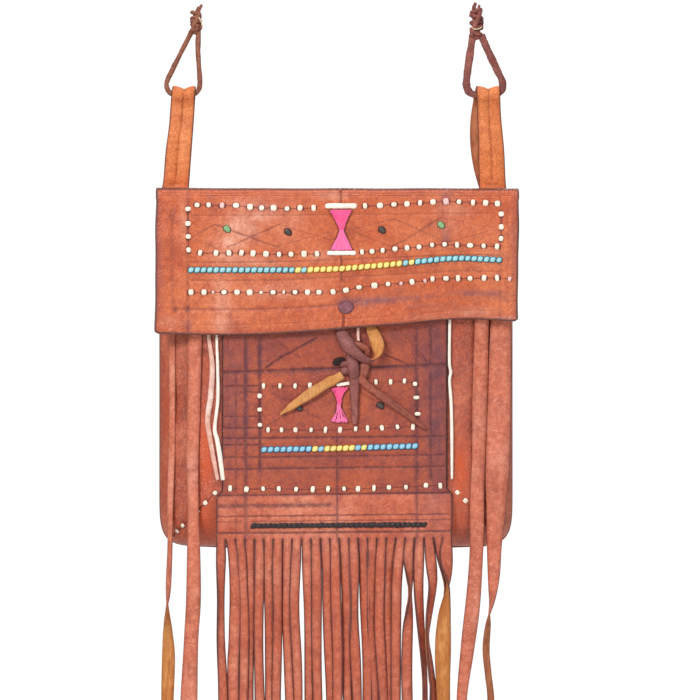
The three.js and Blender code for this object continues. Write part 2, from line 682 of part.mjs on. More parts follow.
// Closure: a loop that hangs from under the flap, and a knotted thong on the panel
const thongFace = panelFront - clearance - braidSheet - clearance;
const knotCentre = [8.5, thongFace - 1.9, bagTop - 135];
const knot = new THREE.SphereGeometry(1, 12, 8);
knot.rotateX(Math.PI / 2);
knot.scale(7.5, panelFront - clearance - knotCentre[1], 5);
knot.translate(...knotCentre);
addPiece('thong_knot', knot, purpleLeather);
const tailY = thongFace - thongSheet / 2 - 0.1;
function tail(places) {
  return strip(places.map(([x, drop, width]) => [x, tailY, bagTop - drop, width]), thongSheet);
}
addPiece('tan_tail', tail([[1.5, 141.5, 7], [-8, 147, 7.4], [-22, 156, 7.2], [-33, 163.5, 6], [-41.5, 169.5, 1.4]]), tanLeather);
addPiece('purple_tail', tail([[11.5, 141.6, 7.4], [12.5, 150, 6.6], [13.5, 160, 6], [13.6, 170, 4.4], [13.2, 176, 1.4]]), purpleLeather);
addPiece('red_tail', tail([[19.5, 145.5, 5.6], [32, 155, 6], [46, 165, 6], [58, 174, 4.6], [66, 180, 1.2]]), brownLeather);

const loopFace = knotCentre[1] - (panelFront - clearance - knotCentre[1]) - clearance;
const loopFront = loopFace - thongSheet / 2;
const loopHidden = flapBack + clearance + thongSheet / 2;
const loopWidth = 6.2;
addPiece('closure_loop', strip([
  [3.4, loopHidden, bagTop - 97, loopWidth], [4, loopHidden, bagTop - 105.5, loopWidth],
  [5.6, loopFront, bagTop - 114.5, loopWidth], [8.6, loopFront, bagTop - 121.5, loopWidth],
  [13.5, loopFront, bagTop - 127.5, loopWidth], [20, loopFront, bagTop - 130.4, loopWidth],
  [26.5, loopFront, bagTop - 129.6, loopWidth], [31.5, loopFront, bagTop - 126.2, loopWidth],
  [34.6, loopFront, bagTop - 120.5, loopWidth], [34.9, loopFront, bagTop - 114.5, loopWidth],
  [33.6, loopHidden, bagTop - 103.5, loopWidth], [31.5, loopHidden, bagTop - 95, loopWidth],
], thongSheet), tanLeather);

export default bag;
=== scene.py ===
"""The leather purse, dressed over its CAD frame. Lengths are in millimetres until a mesh is made."""
import math
import random

import bpy
import numpy as np
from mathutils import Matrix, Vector


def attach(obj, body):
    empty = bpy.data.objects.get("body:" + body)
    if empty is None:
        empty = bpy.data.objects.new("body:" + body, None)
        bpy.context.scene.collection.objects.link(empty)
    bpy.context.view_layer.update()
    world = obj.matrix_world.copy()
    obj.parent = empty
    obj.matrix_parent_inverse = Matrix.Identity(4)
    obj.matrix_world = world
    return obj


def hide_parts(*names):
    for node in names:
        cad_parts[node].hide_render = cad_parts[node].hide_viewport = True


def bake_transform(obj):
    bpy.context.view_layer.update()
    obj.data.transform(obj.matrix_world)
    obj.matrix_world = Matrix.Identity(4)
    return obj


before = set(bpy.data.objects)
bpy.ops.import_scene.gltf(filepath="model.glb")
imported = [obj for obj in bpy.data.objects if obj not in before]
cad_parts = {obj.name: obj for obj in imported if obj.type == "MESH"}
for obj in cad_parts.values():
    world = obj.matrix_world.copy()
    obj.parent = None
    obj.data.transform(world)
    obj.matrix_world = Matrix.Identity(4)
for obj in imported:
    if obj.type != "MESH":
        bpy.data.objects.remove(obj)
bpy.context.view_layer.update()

MM = 0.001

# Planes and sizes of the bag, as the CAD has them.
BAG_TOP = -128.0
BAG_BOTTOM = -398.0
BAG_HALF = 132.0
CORNER_REACH = 55.0
CORNER_POWER = 6.0
BACK_OUTER = 14.5
GUSSET_BACK = 12.0
GUSSET_WIDTH = 43.0
GUSSET_DEPTH = 26.0
LAP_FACE = -14.0
LAP_INSET = 51.0
PANEL_FRONT = -16.3
FLAP_FRONT = -21.3
FOLD_Y = -13.3
FOLD_Z = -136.0
FOLD_RADIUS = 8.0
FLAP_LEFT_DROP = 109.0
ROOT_Y = 8.4
ROOT_HALF = 117.0
ROOT_BEND_Z = -130.8
ROOT_BEND_RADIUS = 2.8
PANEL_HALF = 84.5
APRON_HALF = 88.5
PANEL_TOP = -142.2
APRON_FOLD_Z = -352.0
TAB_HEIGHT = 77.8
TAB_ROOT = 36.0
MOUTH_Z = -141.0


# The photograph's pixels: their size, and the pixel at x 0 and z 0.
PIXEL = 0.75
MIDDLE_PX = 336.5
TOP_PY = 17.0


def photo_x(px):
    return (px - MIDDLE_PX) * PIXEL


def photo_z(py):
    return (TOP_PY - py) * PIXEL


def smooth(a, b, t):
    """0 before a, 1 after b, and smooth between them."""
    s = np.clip((t - a) / (b - a), 0.0, 1.0)
    return s * s * (3.0 - 2.0 * s)


def waves(x, z, seed, size):
    """A smooth uneven surface between about -1 and 1, with humps of the given size."""
    place = random.Random(seed)
    total = 0.0
    for _ in range(5):
        turn = place.uniform(0.0, math.pi)
        pace = math.tau / (size * place.uniform(0.75, 1.6))
        total = total + np.sin((x * math.cos(turn) + z * math.sin(turn)) * pace + place.uniform(0.0, math.tau))
    return total / 2.6


def curve_through(stops, count):
    """A Catmull-Rom curve through rows of numbers, with count rows spread evenly over its stops."""
    rows = np.array(stops, dtype=float)
    padded = np.vstack([2 * rows[0] - rows[1], rows, 2 * rows[-1] - rows[-2]])
    made = []
    for t in np.linspace(0.0, len(rows) - 1.000001, count):
        i = int(t)
        f = t - i
        p0, p1, p2, p3 = padded[i:i + 4]
        made.append(0.5 * (2 * p1 + (p2 - p0) * f + (2 * p0 - 5 * p1 + 4 * p2 - p3) * f * f
                           + (3 * p1 - p0 - 3 * p2 + p3) * f ** 3))
    return np.array(made)


def unit(vectors):
    vectors = np.asarray(vectors, dtype=float)
    return vectors / np.maximum(np.linalg.norm(vectors, axis=-1, keepdims=True), 1e-9)


def add_mesh(name, points, faces, materials, face_material=None, values=None):
    """A mesh object from points in millimetres."""
    mesh = bpy.data.meshes.new(name)
    mesh.from_pydata((np.asarray(points) * MM).tolist(), [], [tuple(int(i) for i in f) for f in faces])
    for material in materials:
        mesh.materials.append(material)
    if face_material is not None:
        mesh.polygons.foreach_set("material_index", np.asarray(face_material, dtype=np.int32))
    for key, numbers in (values or {}).items():
        layer = mesh.attributes.new(key, "FLOAT", "POINT")
        layer.data.foreach_set("value", np.asarray(numbers, dtype=np.float32))
    mesh.polygons.foreach_set("use_smooth", [True] * len(mesh.polygons))
    mesh.validate()
    mesh.update()
    thing = bpy.data.objects.new(name, mesh)
    bpy.context.scene.collection.objects.link(thing)
    return thing


def with_marks(spread, marks, reach=0.95):
    """The spread of grid places, with five close ones at each mark, so that a groove can be pressed there."""
    marks = sorted(marks)
    kept = [p for p in spread if all(abs(p - m) > reach * 1.5 for m in marks)]
    for m in marks:
        kept += [m - reach, m - reach * 0.45, m, m + reach * 0.45, m + reach]
    kept.sort()
    made = [kept[0]]
    for p in kept[1:]:
        if p - made[-1] > reach * 0.2:
            made.append(p)
    return np.array(made)


def groove(gap, half):
    """1 in the middle of a groove and 0 outside it."""
    return np.clip(1.0 - (np.abs(gap) / half) ** 2, 0.0, 1.0)


def leather_sheet(name, face, thickness, materials, keep=None, rim=2.6, rim_round=0.28, marks=None):
    """A closed sheet of leather. face is a grid of points on its grain side, rows by columns, with the
    grain side on the left of a walk along the rows. The cells that keep leaves out are cut away.
    Material 0 is the grain side, 1 the flesh side. The cut edge is the grain side's, burnished by 'rim'.
    marks: grids of numbers for the grain side, kept under their names, as 'tooled', the painted sheen mark (a paler
    colour standing in for satin highlights) and 'stained'."""
    face = np.asarray(face)
    rows, cols = face.shape[:2]
    if keep is None:
        keep = np.ones((rows - 1, cols - 1), dtype=bool)
    flat = face.reshape(-1, 3)
    index = np.arange(rows * cols).reshape(rows, cols)
    quads = np.stack([index[:-1, :-1], index[1:, :-1], index[1:, 1:], index[:-1, 1:]], axis=-1)[keep]
    a, b, c, d = (flat[quads[:, i]] for i in range(4))
    turned = np.cross(c - a, d - b)
    outward = np.zeros_like(flat)
    for i in range(4):
        np.add.at(outward, quads[:, i], turned)
    outward = unit(outward)
    used = np.zeros(len(flat), dtype=bool)
    used[quads.ravel()] = True

    edges = {}
    for quad in quads:
        for i in range(4):
            p, q = int(quad[i]), int(quad[(i + 1) % 4])
            if (q, p) in edges:
                del edges[(q, p)]
            else:
                edges[(p, q)] = True
    away = {}
    for p, q in edges:
        out = np.cross(flat[q] - flat[p], outward[p] + outward[q])
        out = out / max(np.linalg.norm(out), 1e-9)
        for end in (p, q):
            away[end] = away.get(end, 0) + out

    thick = thickness if np.ndim(thickness) else np.full(len(flat), float(thickness))
    back = flat - outward * thick.reshape(-1, 1)
    number = -np.ones(len(flat), dtype=int)
    number[used] = np.arange(used.sum())
    count = int(used.sum())
    points = [flat[used], back[used]]
    border = sorted(away)
    rim_a = {p: 2 * count + i for i, p in enumerate(border)}
    rim_b = {p: 2 * count + len(border) + i for i, p in enumerate(border)}
    out = np.array([away[p] / max(np.linalg.norm(away[p]), 1e-9) for p in border])
    thin = thick[border].reshape(-1, 1)
    points.append(flat[border] + out * thin * rim_round - outward[border] * thin * 0.26)
    points.append(flat[border] + out * thin * rim_round - outward[border] * thin * 0.74)
    faces = [*number[quads], *(number[quads[:, ::-1]] + count)]
    kinds = [0] * len(quads) + [1] * len(quads)
    for p, q in edges:
        faces.append((number[q], number[p], rim_a[p], rim_a[q]))
        faces.append((rim_a[q], rim_a[p], rim_b[p], rim_b[q]))
        faces.append((rim_b[q], rim_b[p], number[p] + count, number[q] + count))
        kinds.extend((0, 0, 1))

    near = np.zeros(len(flat))
    if rim:
        places = flat[border]
        live = np.where(used)[0]
        for start in range(0, len(live), 4000):
            part = live[start:start + 4000]
            gap = np.linalg.norm(flat[part][:, None, :] - places[None, :, :], axis=-1).min(axis=1)
            near[part] = np.exp(-(gap / rim) ** 2)
    values = {"edge": np.concatenate([near[used], near[used], np.ones(2 * len(border))])}
    for key, grid in (marks or {}).items():
        shown = np.asarray(grid).ravel()[used]
        if key == "edge":
            values["edge"][:count] = np.maximum(values["edge"][:count], shown)
        else:
            values[key] = np.concatenate([shown, 0 * shown, np.zeros(2 * len(border))])
    return add_mesh(name, np.vstack(points), faces, materials, kinds, values)


def ring_faces(count, sides):
    """The faces between rings of points that follow each other."""
    return [(i * sides + k, i * sides + m, (i + 1) * sides + m, (i + 1) * sides + k)
            for i in range(count - 1) for k, m in ((k, (k + 1) % sides) for k in range(sides))]


def tube(points, radii, sides=10, flatness=1.0, roll=0.0, seed=0, rough=0.0):
    """Points and faces of a closed tube along points. flatness under 1 makes it a strap."""
    path = np.asarray(points, dtype=float)
    radii = np.broadcast_to(np.asarray(radii, dtype=float), (len(path),))
    ahead = unit(np.gradient(path, axis=0))
    up = np.array([0.0, -1.0, 0.0]) if abs(ahead[0][1]) < 0.9 else np.array([1.0, 0.0, 0.0])
    rng = np.random.default_rng(seed)
    made = []
    for i, place in enumerate(path):
        up = up - ahead[i] * np.dot(up, ahead[i])
        up = up / max(np.linalg.norm(up), 1e-9)
        side = np.cross(ahead[i], up)
        turn = roll if np.ndim(roll) == 0 else roll[i]
        for k in range(sides):
            angle = math.tau * k / sides
            u, v = math.cos(angle), math.sin(angle) * flatness
            a = u * math.cos(turn) - v * math.sin(turn)
            b = u * math.sin(turn) + v * math.cos(turn)
            swell = 1.0 + rough * rng.uniform(-1.0, 1.0)
            made.append(place + (side * a + up * b) * radii[i] * swell)
    faces = ring_faces(len(path), sides)
    first = len(made)
    made.append(path[0] - ahead[0] * radii[0] * 0.35)
    made.append(path[-1] + ahead[-1] * radii[-1] * 0.35)
    last = (len(path) - 1) * sides
    for k in range(sides):
        m = (k + 1) % sides
        faces.append((first, m, k))
        faces.append((first + 1, last + k, last + m))
    return np.array(made), faces


def joined(name, shapes, materials, values=None):
    """One object from several (points, faces, material number) shapes."""
    points, faces, kinds = [], [], []
    for shape, cells, kind in shapes:
        base = sum(len(p) for p in points)
        points.append(np.asarray(shape))
        faces.extend(tuple(int(i) + base for i in cell) for cell in cells)
        if np.ndim(kind):
            kinds.extend(kind)
        else:
            kinds.extend([kind] * len(cells))
    if values is not None:
        values = {"edge": values}
    return add_mesh(name, np.vstack(points), faces, materials, kinds, values)


def ribbon_shape(stops, thickness, count, cup=0.12, taper=0.0, seed=0, flutter=0.0):
    """A leather strip along stops of (x, y, z, width, turn in degrees). At turn 0 its grain side faces the
    front. Gives points, faces, materials (0 grain, 1 flesh) and the 'edge' values."""
    rows = curve_through(stops, count)
    path = rows[:, :3].copy()
    wide = rows[:, 3].copy()
    turn = np.radians(rows[:, 4])
    along = np.linspace(0.0, 1.0, count)
    wide = wide * (1.0 - taper * along) * (1.0 + 0.05 * np.sin(along * 23.0 + seed))
    path[:, 1] += flutter * np.sin(along * 9.0 + seed)
    ahead = unit(np.gradient(path, axis=0))
    front = np.array([0.0, -1.0, 0.0])
    outline = [(-1.0, 0.0), (-0.93, 0.42), (-0.5, 0.5), (0.0, 0.5), (0.5, 0.5), (0.93, 0.42),
               (1.0, 0.0), (0.93, -0.42), (0.5, -0.5), (0.0, -0.5), (-0.5, -0.5), (-0.93, -0.42)]
    burnish = [1.0, 0.75, 0.1, 0.0, 0.1, 0.75, 1.0, 0.75, 0.1, 0.0, 0.1, 0.75]
    made, values = [], []
    for i in range(count):
        up = front - ahead[i] * np.dot(front, ahead[i])
        up = up / max(np.linalg.norm(up), 1e-9)
        side = np.cross(up, ahead[i])
        c, s = math.cos(turn[i]), math.sin(turn[i])
        across = side * c + up * s
        outward = up * c - side * s
        for (a, b), dark in zip(outline, burnish):
            bow = -cup * wide[i] * (a * a - 0.4)
            made.append(path[i] + across * (a * wide[i] / 2) + outward * (b * thickness + bow))
            values.append(dark)
    sides = len(outline)
    faces = ring_faces(count, sides)
    kinds = ([0] * 6 + [1] * 6) * (count - 1) + [0, 0]
    faces.append(tuple(range(sides - 1, -1, -1)))
    faces.append(tuple((count - 1) * sides + k for k in range(sides)))
    return np.array(made), faces, kinds, values


def seen(px, py, y, wide, turn=0.0):
    """A ribbon's stop at depth y, from the photograph's pixels."""
    return photo_x(px), y, photo_z(py), wide * PIXEL, turn


def rgb(red, green, blue):
    """A screen colour from 0 to 255 as a linear colour."""
    made = []
    for part in (red, green, blue):
        part /= 255.0
        made.append(part / 12.92 if part <= 0.04045 else ((part + 0.055) / 1.055) ** 2.4)
    return (*made, 1.0)


SOCKETS = {"colour": "NodeSocketColor", "value": "NodeSocketFloat", "vector": "NodeSocketVector",
           "count": "NodeSocketInt", "geometry": "NodeSocketGeometry", "material": "NodeSocketMaterial"}


def new_tree(name, kind, takes, gives):
    tree = bpy.data.node_groups.new(name, kind)
    for direction, wanted in (("INPUT", takes), ("OUTPUT", gives)):
        for label, form, *rest in wanted:
            socket = tree.interface.new_socket(name=label, in_out=direction, socket_type=SOCKETS[form])
            if rest:
                socket.default_value = rest[0]
    return tree, tree.nodes.new("NodeGroupInput").outputs, tree.nodes.new("NodeGroupOutput").inputs


class Wiring:
    """Short ways to add nodes to one tree."""

    def __init__(self, tree):
        self.tree = tree

    def node(self, kind, given=(), **settings):
        made = self.tree.nodes.new(kind)
        for key, setting in settings.items():
            setattr(made, key, setting)
        for key, each in dict(given).items():
            self.feed(made.inputs[key], each)
        return made

    def out(self, kind, given=(), **settings):
        return self.node(kind, given, **settings).outputs[0]

    def place(self):
        return self.node("ShaderNodeTexCoord").outputs["Object"]

    def attribute(self, name):
        return self.node("ShaderNodeAttribute", attribute_name=name).outputs["Fac"]

    def bump(self, strength, distance, height):
        return self.out("ShaderNodeBump", {"Strength": strength, "Distance": distance, "Height": height})

    def feed(self, socket, given):
        if isinstance(given, bpy.types.NodeSocket):
            self.tree.links.new(given, socket)
        else:
            socket.default_value = given

    def math(self, what, *given, clamp=False):
        return self.out("ShaderNodeMath", enumerate(given), operation=what, use_clamp=clamp)

    def vector(self, what, *given):
        sockets = (0, "Scale") if what == "SCALE" else range(len(given))
        made = self.node("ShaderNodeVectorMath", zip(sockets, given), operation=what)
        return made.outputs["Value" if what in ("DOT_PRODUCT", "DISTANCE", "LENGTH") else "Vector"]

    def ease(self, value, low, high, to_low=0.0, to_high=1.0):
        return self.out("ShaderNodeMapRange", {"Value": value, "From Min": low, "From Max": high, "To Min": to_low,
                                               "To Max": to_high}, interpolation_type="SMOOTHSTEP")

    def mix(self, share, first, second):
        return self.node("ShaderNodeMix", {0: share, 6: first, 7: second}, data_type="RGBA").outputs[2]

    def noise(self, place, scale, detail=3.0, roughness=0.55, colour=False):
        given = {"Vector": place, "Scale": scale, "Detail": detail, "Roughness": roughness}
        return self.node("ShaderNodeTexNoise", given).outputs["Color" if colour else "Fac"]


def make_line_group():
    """How much of a scribed or stained line lies at a place: 1 on it, 0 away from it."""
    tree, takes, gives = new_tree(
        "scribed_line", "ShaderNodeTree",
        [("Place", "vector"), ("From", "vector"), ("To", "vector"), ("Half Width", "value", 0.0006)],
        [("Mask", "value")])
    wire = Wiring(tree)
    along = wire.vector("SUBTRACT", takes["To"], takes["From"])
    reach = wire.vector("SUBTRACT", takes["Place"], takes["From"])
    share = wire.math("DIVIDE", wire.vector("DOT_PRODUCT", reach, along),
                      wire.vector("DOT_PRODUCT", along, along), clamp=True)
    gap = wire.vector("DISTANCE", reach, wire.vector("SCALE", along, share))
    inner = wire.math("MULTIPLY", takes["Half Width"], 0.35)
    wire.feed(gives["Mask"], wire.ease(gap, inner, takes["Half Width"], 1.0, 0.0))
    return tree


# The leather group's marks, and the sheets' attributes that hold them.
MARKS = {"Edge": "edge", "Painted Sheen": "painted_sheen", "Stained": "stained", "Lines": "tooled"}


def make_leather_group():
    """Colour, gloss and grain of tanned leather, with stained lines, burnished edges and a painted satin sheen."""
    colours = ("Base", "Light", "Dark", "Spot", "Edge Colour", "Line Colour", "Sheen Colour", "Stain Colour")
    tree, takes, gives = new_tree(
        "leather_look", "ShaderNodeTree",
        [(label, "colour") for label in colours] + [(label, "value") for label in MARKS]
        + [("Spots", "value", 0.3), ("Patch", "value", 18.0), ("Gloss", "value", 0.45)],
        [("Colour", "colour"), ("Roughness", "value"), ("Normal", "vector")])
    wire = Wiring(tree)
    ease, noise = wire.ease, wire.noise
    place = wire.place()

    def moved(x, y, z):
        return wire.vector("ADD", place, (x, y, z))

    def times(value, share):
        return wire.math("MULTIPLY", value, share)

    patch = takes["Patch"]
    broad = noise(place, patch, 4.0, 0.6)
    second = noise(moved(0.31, 0.17, 0.53), times(patch, 2.7), 5.0, 0.62)
    fine = noise(place, 420.0, 3.0, 0.6)
    speckle = noise(moved(0.5, 0.2, 0.4), 170.0, 5.0, 0.68)
    cloud = noise(moved(0.83, 0.61, 0.07), times(patch, 1.4), 4.0, 0.6)
    edge, lines = takes["Edge"], takes["Lines"]
    colour = takes["Base"]
    for layer, mask in (
            ("Light", ease(broad, 0.42, 0.66)),
            ("Dark", ease(second, 0.5, 0.74, 0.0, 0.8)),
            ("Spot", times(ease(cloud, 0.5, 0.66), takes["Spots"])),
            ("Dark", ease(speckle, 0.42, 0.72, 0.0, 0.5)),
            ("Light", ease(speckle, 0.5, 0.28, 0.0, 0.45)),
            ("Dark", ease(fine, 0.35, 0.75, 0.0, 0.36)),
            ("Light", ease(fine, 0.46, 0.28, 0.0, 0.4)),
            # Painted highlight: a paler colour where the sheen mark is set, standing in for satin sheen.
            ("Sheen Colour", times(takes["Painted Sheen"], ease(speckle, 0.3, 0.62, 1.0, 0.4))),
            ("Stain Colour", times(takes["Stained"], ease(speckle, 0.3, 0.6, 0.55, 1.0))),
            ("Dark", times(edge, ease(second, 0.25, 0.6, 0.35, 0.7))),
            ("Edge Colour", times(ease(edge, 0.72, 0.99), ease(second, 0.25, 0.6, 0.8, 1.0))),
            ("Line Colour", times(ease(lines, 0.0, 0.8), ease(speckle, 0.28, 0.6, 0.45, 1.0))),
            ("Edge Colour", ease(lines, 0.82, 1.0))):
        colour = wire.mix(mask, colour, takes[layer])
    wire.feed(gives["Colour"], colour)

    rough = wire.math("ADD", takes["Gloss"], times(wire.math("SUBTRACT", broad, 0.5), 0.35))
    # The painted sheen also lowers the roughness a little.
    rough = wire.math("SUBTRACT", rough, times(takes["Painted Sheen"], 0.1))
    wire.feed(gives["Roughness"], wire.math("ADD", rough, times(lines, 0.15), clamp=True))

    shaken = wire.vector("ADD", place, wire.vector("SCALE", noise(place, 90.0, colour=True), 0.004))
    creases = wire.out("ShaderNodeTexVoronoi", {"Vector": shaken, "Scale": 260.0}, feature="DISTANCE_TO_EDGE")
    pores = wire.out("ShaderNodeTexVoronoi", {"Vector": place, "Scale": 1100.0}, feature="F1")
    height = times(ease(creases, 0.0, 0.09), 0.30)
    for part, share in ((pores, 0.22), (second, 1.3), (fine, 0.5), (speckle, 1.0), (lines, -1.4)):
        height = wire.math("ADD", height, times(part, share))
    wire.feed(gives["Normal"], wire.bump(0.9, 0.0007, height))
    return tree


def make_suede_group():
    """The fibrous flesh side of leather, and the soft surface of thongs."""
    tree, takes, gives = new_tree(
        "suede_look", "ShaderNodeTree",
        [("Base", "colour"), ("Light", "colour"), ("Dark", "colour"), ("Edge", "value")],
        [("Colour", "colour"), ("Roughness", "value"), ("Normal", "vector")])
    wire = Wiring(tree)
    place = wire.place()
    nap = wire.noise(wire.vector("MULTIPLY", place, (1.0, 1.0, 0.22)), 520.0, 5.0, 0.7)
    broad = wire.noise(place, 45.0, 4.0, 0.6)
    colour = wire.mix(wire.ease(broad, 0.4, 0.66), takes["Base"], takes["Light"])
    colour = wire.mix(wire.ease(nap, 0.42, 0.72, 0.0, 0.75), colour, takes["Dark"])
    colour = wire.mix(wire.math("MULTIPLY", takes["Edge"], 0.55), colour, takes["Dark"])
    wire.feed(gives["Colour"], colour)
    wire.feed(gives["Roughness"], wire.ease(nap, 0.3, 0.8, 0.72, 0.92))
    wire.feed(gives["Normal"], wire.bump(0.8, 0.0005, wire.math("ADD", nap, wire.math("MULTIPLY", broad, 1.5))))
    return tree


LINE_GROUP = make_line_group()
LEATHER_GROUP = make_leather_group()
SUEDE_GROUP = make_suede_group()


def new_material(name):
    material = bpy.data.materials.new(name)
    material.use_nodes = True
    return material, Wiring(material.node_tree), material.node_tree.nodes["Principled BSDF"].inputs


def finish_look(material, wire, sockets, base, shine, colour, roughness, normal):
    for key, made in (("Base Color", colour), ("Roughness", roughness), ("Normal", normal),
                      ("Specular IOR Level", shine)):
        wire.feed(sockets[key], made)
    material.diffuse_color = rgb(*base)
    return material


def scribed(wire, lines):
    """The strongest of a material's lines at each place."""
    place = wire.place()
    sway = wire.vector("SUBTRACT", wire.noise(place, 42.0, 2.0, colour=True), (0.5, 0.5, 0.5))
    # The sway shakes the lines a little, and they run through the leather's whole thickness.
    place = wire.vector("ADD", place, wire.vector("SCALE", sway, 0.0028))
    place = wire.vector("MULTIPLY", place, (1.0, 0.0, 1.0))
    patchy = wire.noise(place, 130.0, 3.0)
    total = 0.0
    for xa, ya, xb, yb, half, share in lines:
        start, end = ((photo_x(px) * MM, 0.0, photo_z(py) * MM) for px, py in ((xa, ya), (xb, yb)))
        one = wire.out("ShaderNodeGroup", {"Place": place, "From": start, "To": end, "Half Width": half * MM},
                       node_tree=LINE_GROUP)
        total = wire.math("MAXIMUM", total, wire.math("MULTIPLY", one, share))
    return wire.math("MULTIPLY", total, wire.ease(patchy, 0.3, 0.6, 0.55, 1.0))


def look_with_marks(name, group, shine, colours, numbers, marks, lines=()):
    """A material that shows one of the groups, with the marks that its sheet's attributes give."""
    material, wire, sockets = new_material(name)
    given = {key: rgb(*colour) for key, colour in colours.items()}
    given.update(numbers)
    given.update((key, wire.attribute(MARKS[key])) for key in marks)
    if lines:
        given["Lines"] = wire.math("MAXIMUM", given["Lines"], scribed(wire, lines))
    look = wire.node("ShaderNodeGroup", given, node_tree=group).outputs
    return finish_look(material, wire, sockets, colours["Base"], shine, *look[:3])


def leather(name, base, light, dark, edge=(104, 58, 48), spot=(205, 80, 35), spots=0.25, line=(96, 48, 52),
            lines=(), patch=18.0, gloss=0.45, shine=0.42, painted_sheen=(244, 186, 164), stain=(126, 76, 86)):
    """Tanned leather. Its sheet's attributes say where it is burnished, tooled and stained, and where a paler colour
    paints its satin sheen.
    """
    colours = {"Base": base, "Light": light, "Dark": dark, "Edge Colour": edge, "Spot": spot, "Line Colour": line,
               "Sheen Colour": painted_sheen, "Stain Colour": stain}
    return look_with_marks(name, LEATHER_GROUP, shine, colours, {"Spots": spots, "Patch": patch, "Gloss": gloss}, MARKS, lines)


def suede(name, base, light, dark):
    return look_with_marks(name, SUEDE_GROUP, 0.2, {"Base": base, "Light": light, "Dark": dark}, {}, ("Edge",))


def lacing(name, base, shade, gloss=0.5, facing_highlight=None):
    """Flat dyed lacing: the colour with a little dirt and a fine grain; given a highlight colour, a painted highlight
    where it faces the view and painted shade where it turns away.
    """
    material, wire, sockets = new_material(name)
    place = wire.place()
    dirt = wire.noise(place, 330.0, 4.0, 0.65)
    patch = wire.noise(place, 60.0, 3.0)
    colour = wire.mix(wire.ease(dirt, 0.45, 0.8, 0.0, 0.6), rgb(*base), rgb(*shade))
    colour = wire.mix(wire.ease(patch, 0.55, 0.75, 0.0, 0.35), colour, rgb(*shade))
    if facing_highlight:
        # Painted highlight in the middle and painted shade at the turned-away sides, read from how the surface faces
        # the view.
        turned = wire.node("ShaderNodeLayerWeight", {"Blend": 0.5}).outputs["Facing"]
        colour = wire.mix(wire.ease(turned, 0.22, 0.03, 0.0, 0.7), colour, rgb(*facing_highlight))
        colour = wire.mix(wire.ease(turned, 0.35, 0.75), colour, rgb(*(part * 0.62 for part in shade)))
    return finish_look(material, wire, sockets, base, 0.4, colour,
                       wire.ease(dirt, 0.3, 0.7, gloss - 0.08, gloss + 0.15), wire.bump(0.6, 0.0003, dirt))


# Slanted scribed lines: photo x, y, x, y, half width in millimetres, share. The upright and level ones are
# grooves in the sheets' own meshes.
FLAP_LINES = [
    (192, 237, 215, 225, 0.85, 0.4), (192, 237, 216, 249, 0.8, 0.3), (215, 225, 278, 247, 0.95, 0.55),
    (228, 247, 279, 225, 0.9, 0.5), (278, 247, 330, 232, 0.8, 0.3), (279, 225, 331, 240, 0.8, 0.32),
    (350, 231, 393, 247, 0.8, 0.34), (350, 231, 395, 219, 0.8, 0.3), (393, 247, 441, 218, 0.95, 0.5),
    (395, 219, 446, 243, 0.9, 0.45), (441, 218, 497, 229, 0.8, 0.32), (446, 243, 497, 229, 0.8, 0.32)]

PANEL_LINES = [
    (266, 367, 316, 337, 1.2, 0.7), (276, 340, 300, 358, 1.0, 0.35), (384, 354, 407, 365, 1.1, 0.6),
    (400, 330, 428, 362, 0.9, 0.4), (268, 391, 330, 425, 0.8, 0.35), (268, 425, 330, 391, 0.8, 0.35),
    (352, 388, 412, 421, 0.8, 0.35), (352, 421, 412, 388, 0.8, 0.35)]

flap_leather = leather("flap_leather", (207, 98, 50), (226, 122, 73), (164, 68, 43), edge=(100, 58, 50),
    lines=FLAP_LINES, spots=0.4, spot=(208, 90, 40), line=(140, 62, 50), patch=17.0, gloss=0.4, shine=0.6)
# The near-black edge colour is burnish and also painted shadow in the gap between the panel and the welts.
panel_leather = leather("panel_leather", (178, 84, 60), (200, 98, 62), (132, 60, 58), edge=(54, 30, 30),
    lines=PANEL_LINES, spots=0.3, spot=(192, 84, 44), line=(98, 46, 52), patch=19.0, gloss=0.46,
    stain=(104, 58, 72))
side_leather = leather("side_leather", (186, 84, 54), (212, 112, 80), (134, 58, 46), edge=(92, 52, 42),
    spots=0.6, spot=(204, 80, 34), patch=26.0, gloss=0.38, shine=0.7, stain=(216, 84, 24))
back_leather = leather("back_leather", (190, 92, 62), (210, 112, 80), (142, 64, 48), spots=0.3, gloss=0.5)
tab_leather = leather("tab_leather", (226, 128, 68), (240, 148, 90), (184, 88, 46), edge=(112, 62, 40), spots=0.2,
                      gloss=0.44)
strip_leather = leather("strip_leather", (222, 122, 90), (242, 156, 130), (164, 78, 58), edge=(116, 64, 58),
    spots=0.35, spot=(206, 88, 52), patch=24.0, gloss=0.42, shine=0.55)
fringe_leather = leather("fringe_leather", (210, 106, 73), (233, 141, 111), (159, 69, 51), edge=(98, 50, 44),
                         spots=0.3, patch=22.0, gloss=0.46, shine=0.5)
thong_leather = leather("thong_leather", (146, 82, 78), (176, 108, 98), (104, 52, 54), edge=(84, 46, 48),
    spots=0.15, spot=(186, 92, 60), gloss=0.46)
patch_leather = leather("patch_leather", (142, 84, 96), (170, 112, 122), (112, 62, 72), edge=(96, 54, 62), spots=0.0)
red_leather = leather("red_leather", (160, 82, 62), (188, 106, 84), (116, 54, 46), edge=(92, 46, 42), spots=0.2)
cord_leather = leather("cord_leather", (142, 86, 66), (172, 112, 88), (98, 56, 46), edge=(88, 50, 44),
    spots=0.2, spot=(170, 84, 58), patch=60.0, gloss=0.6, shine=0.3)
cord_red = leather("cord_red", (138, 78, 70), (172, 106, 92), (94, 52, 50), edge=(86, 46, 46), spots=0.35,
    spot=(176, 84, 62), patch=60.0, gloss=0.58, shine=0.3)
flesh = suede("flesh_side", (204, 130, 70), (222, 154, 92), (154, 88, 48))
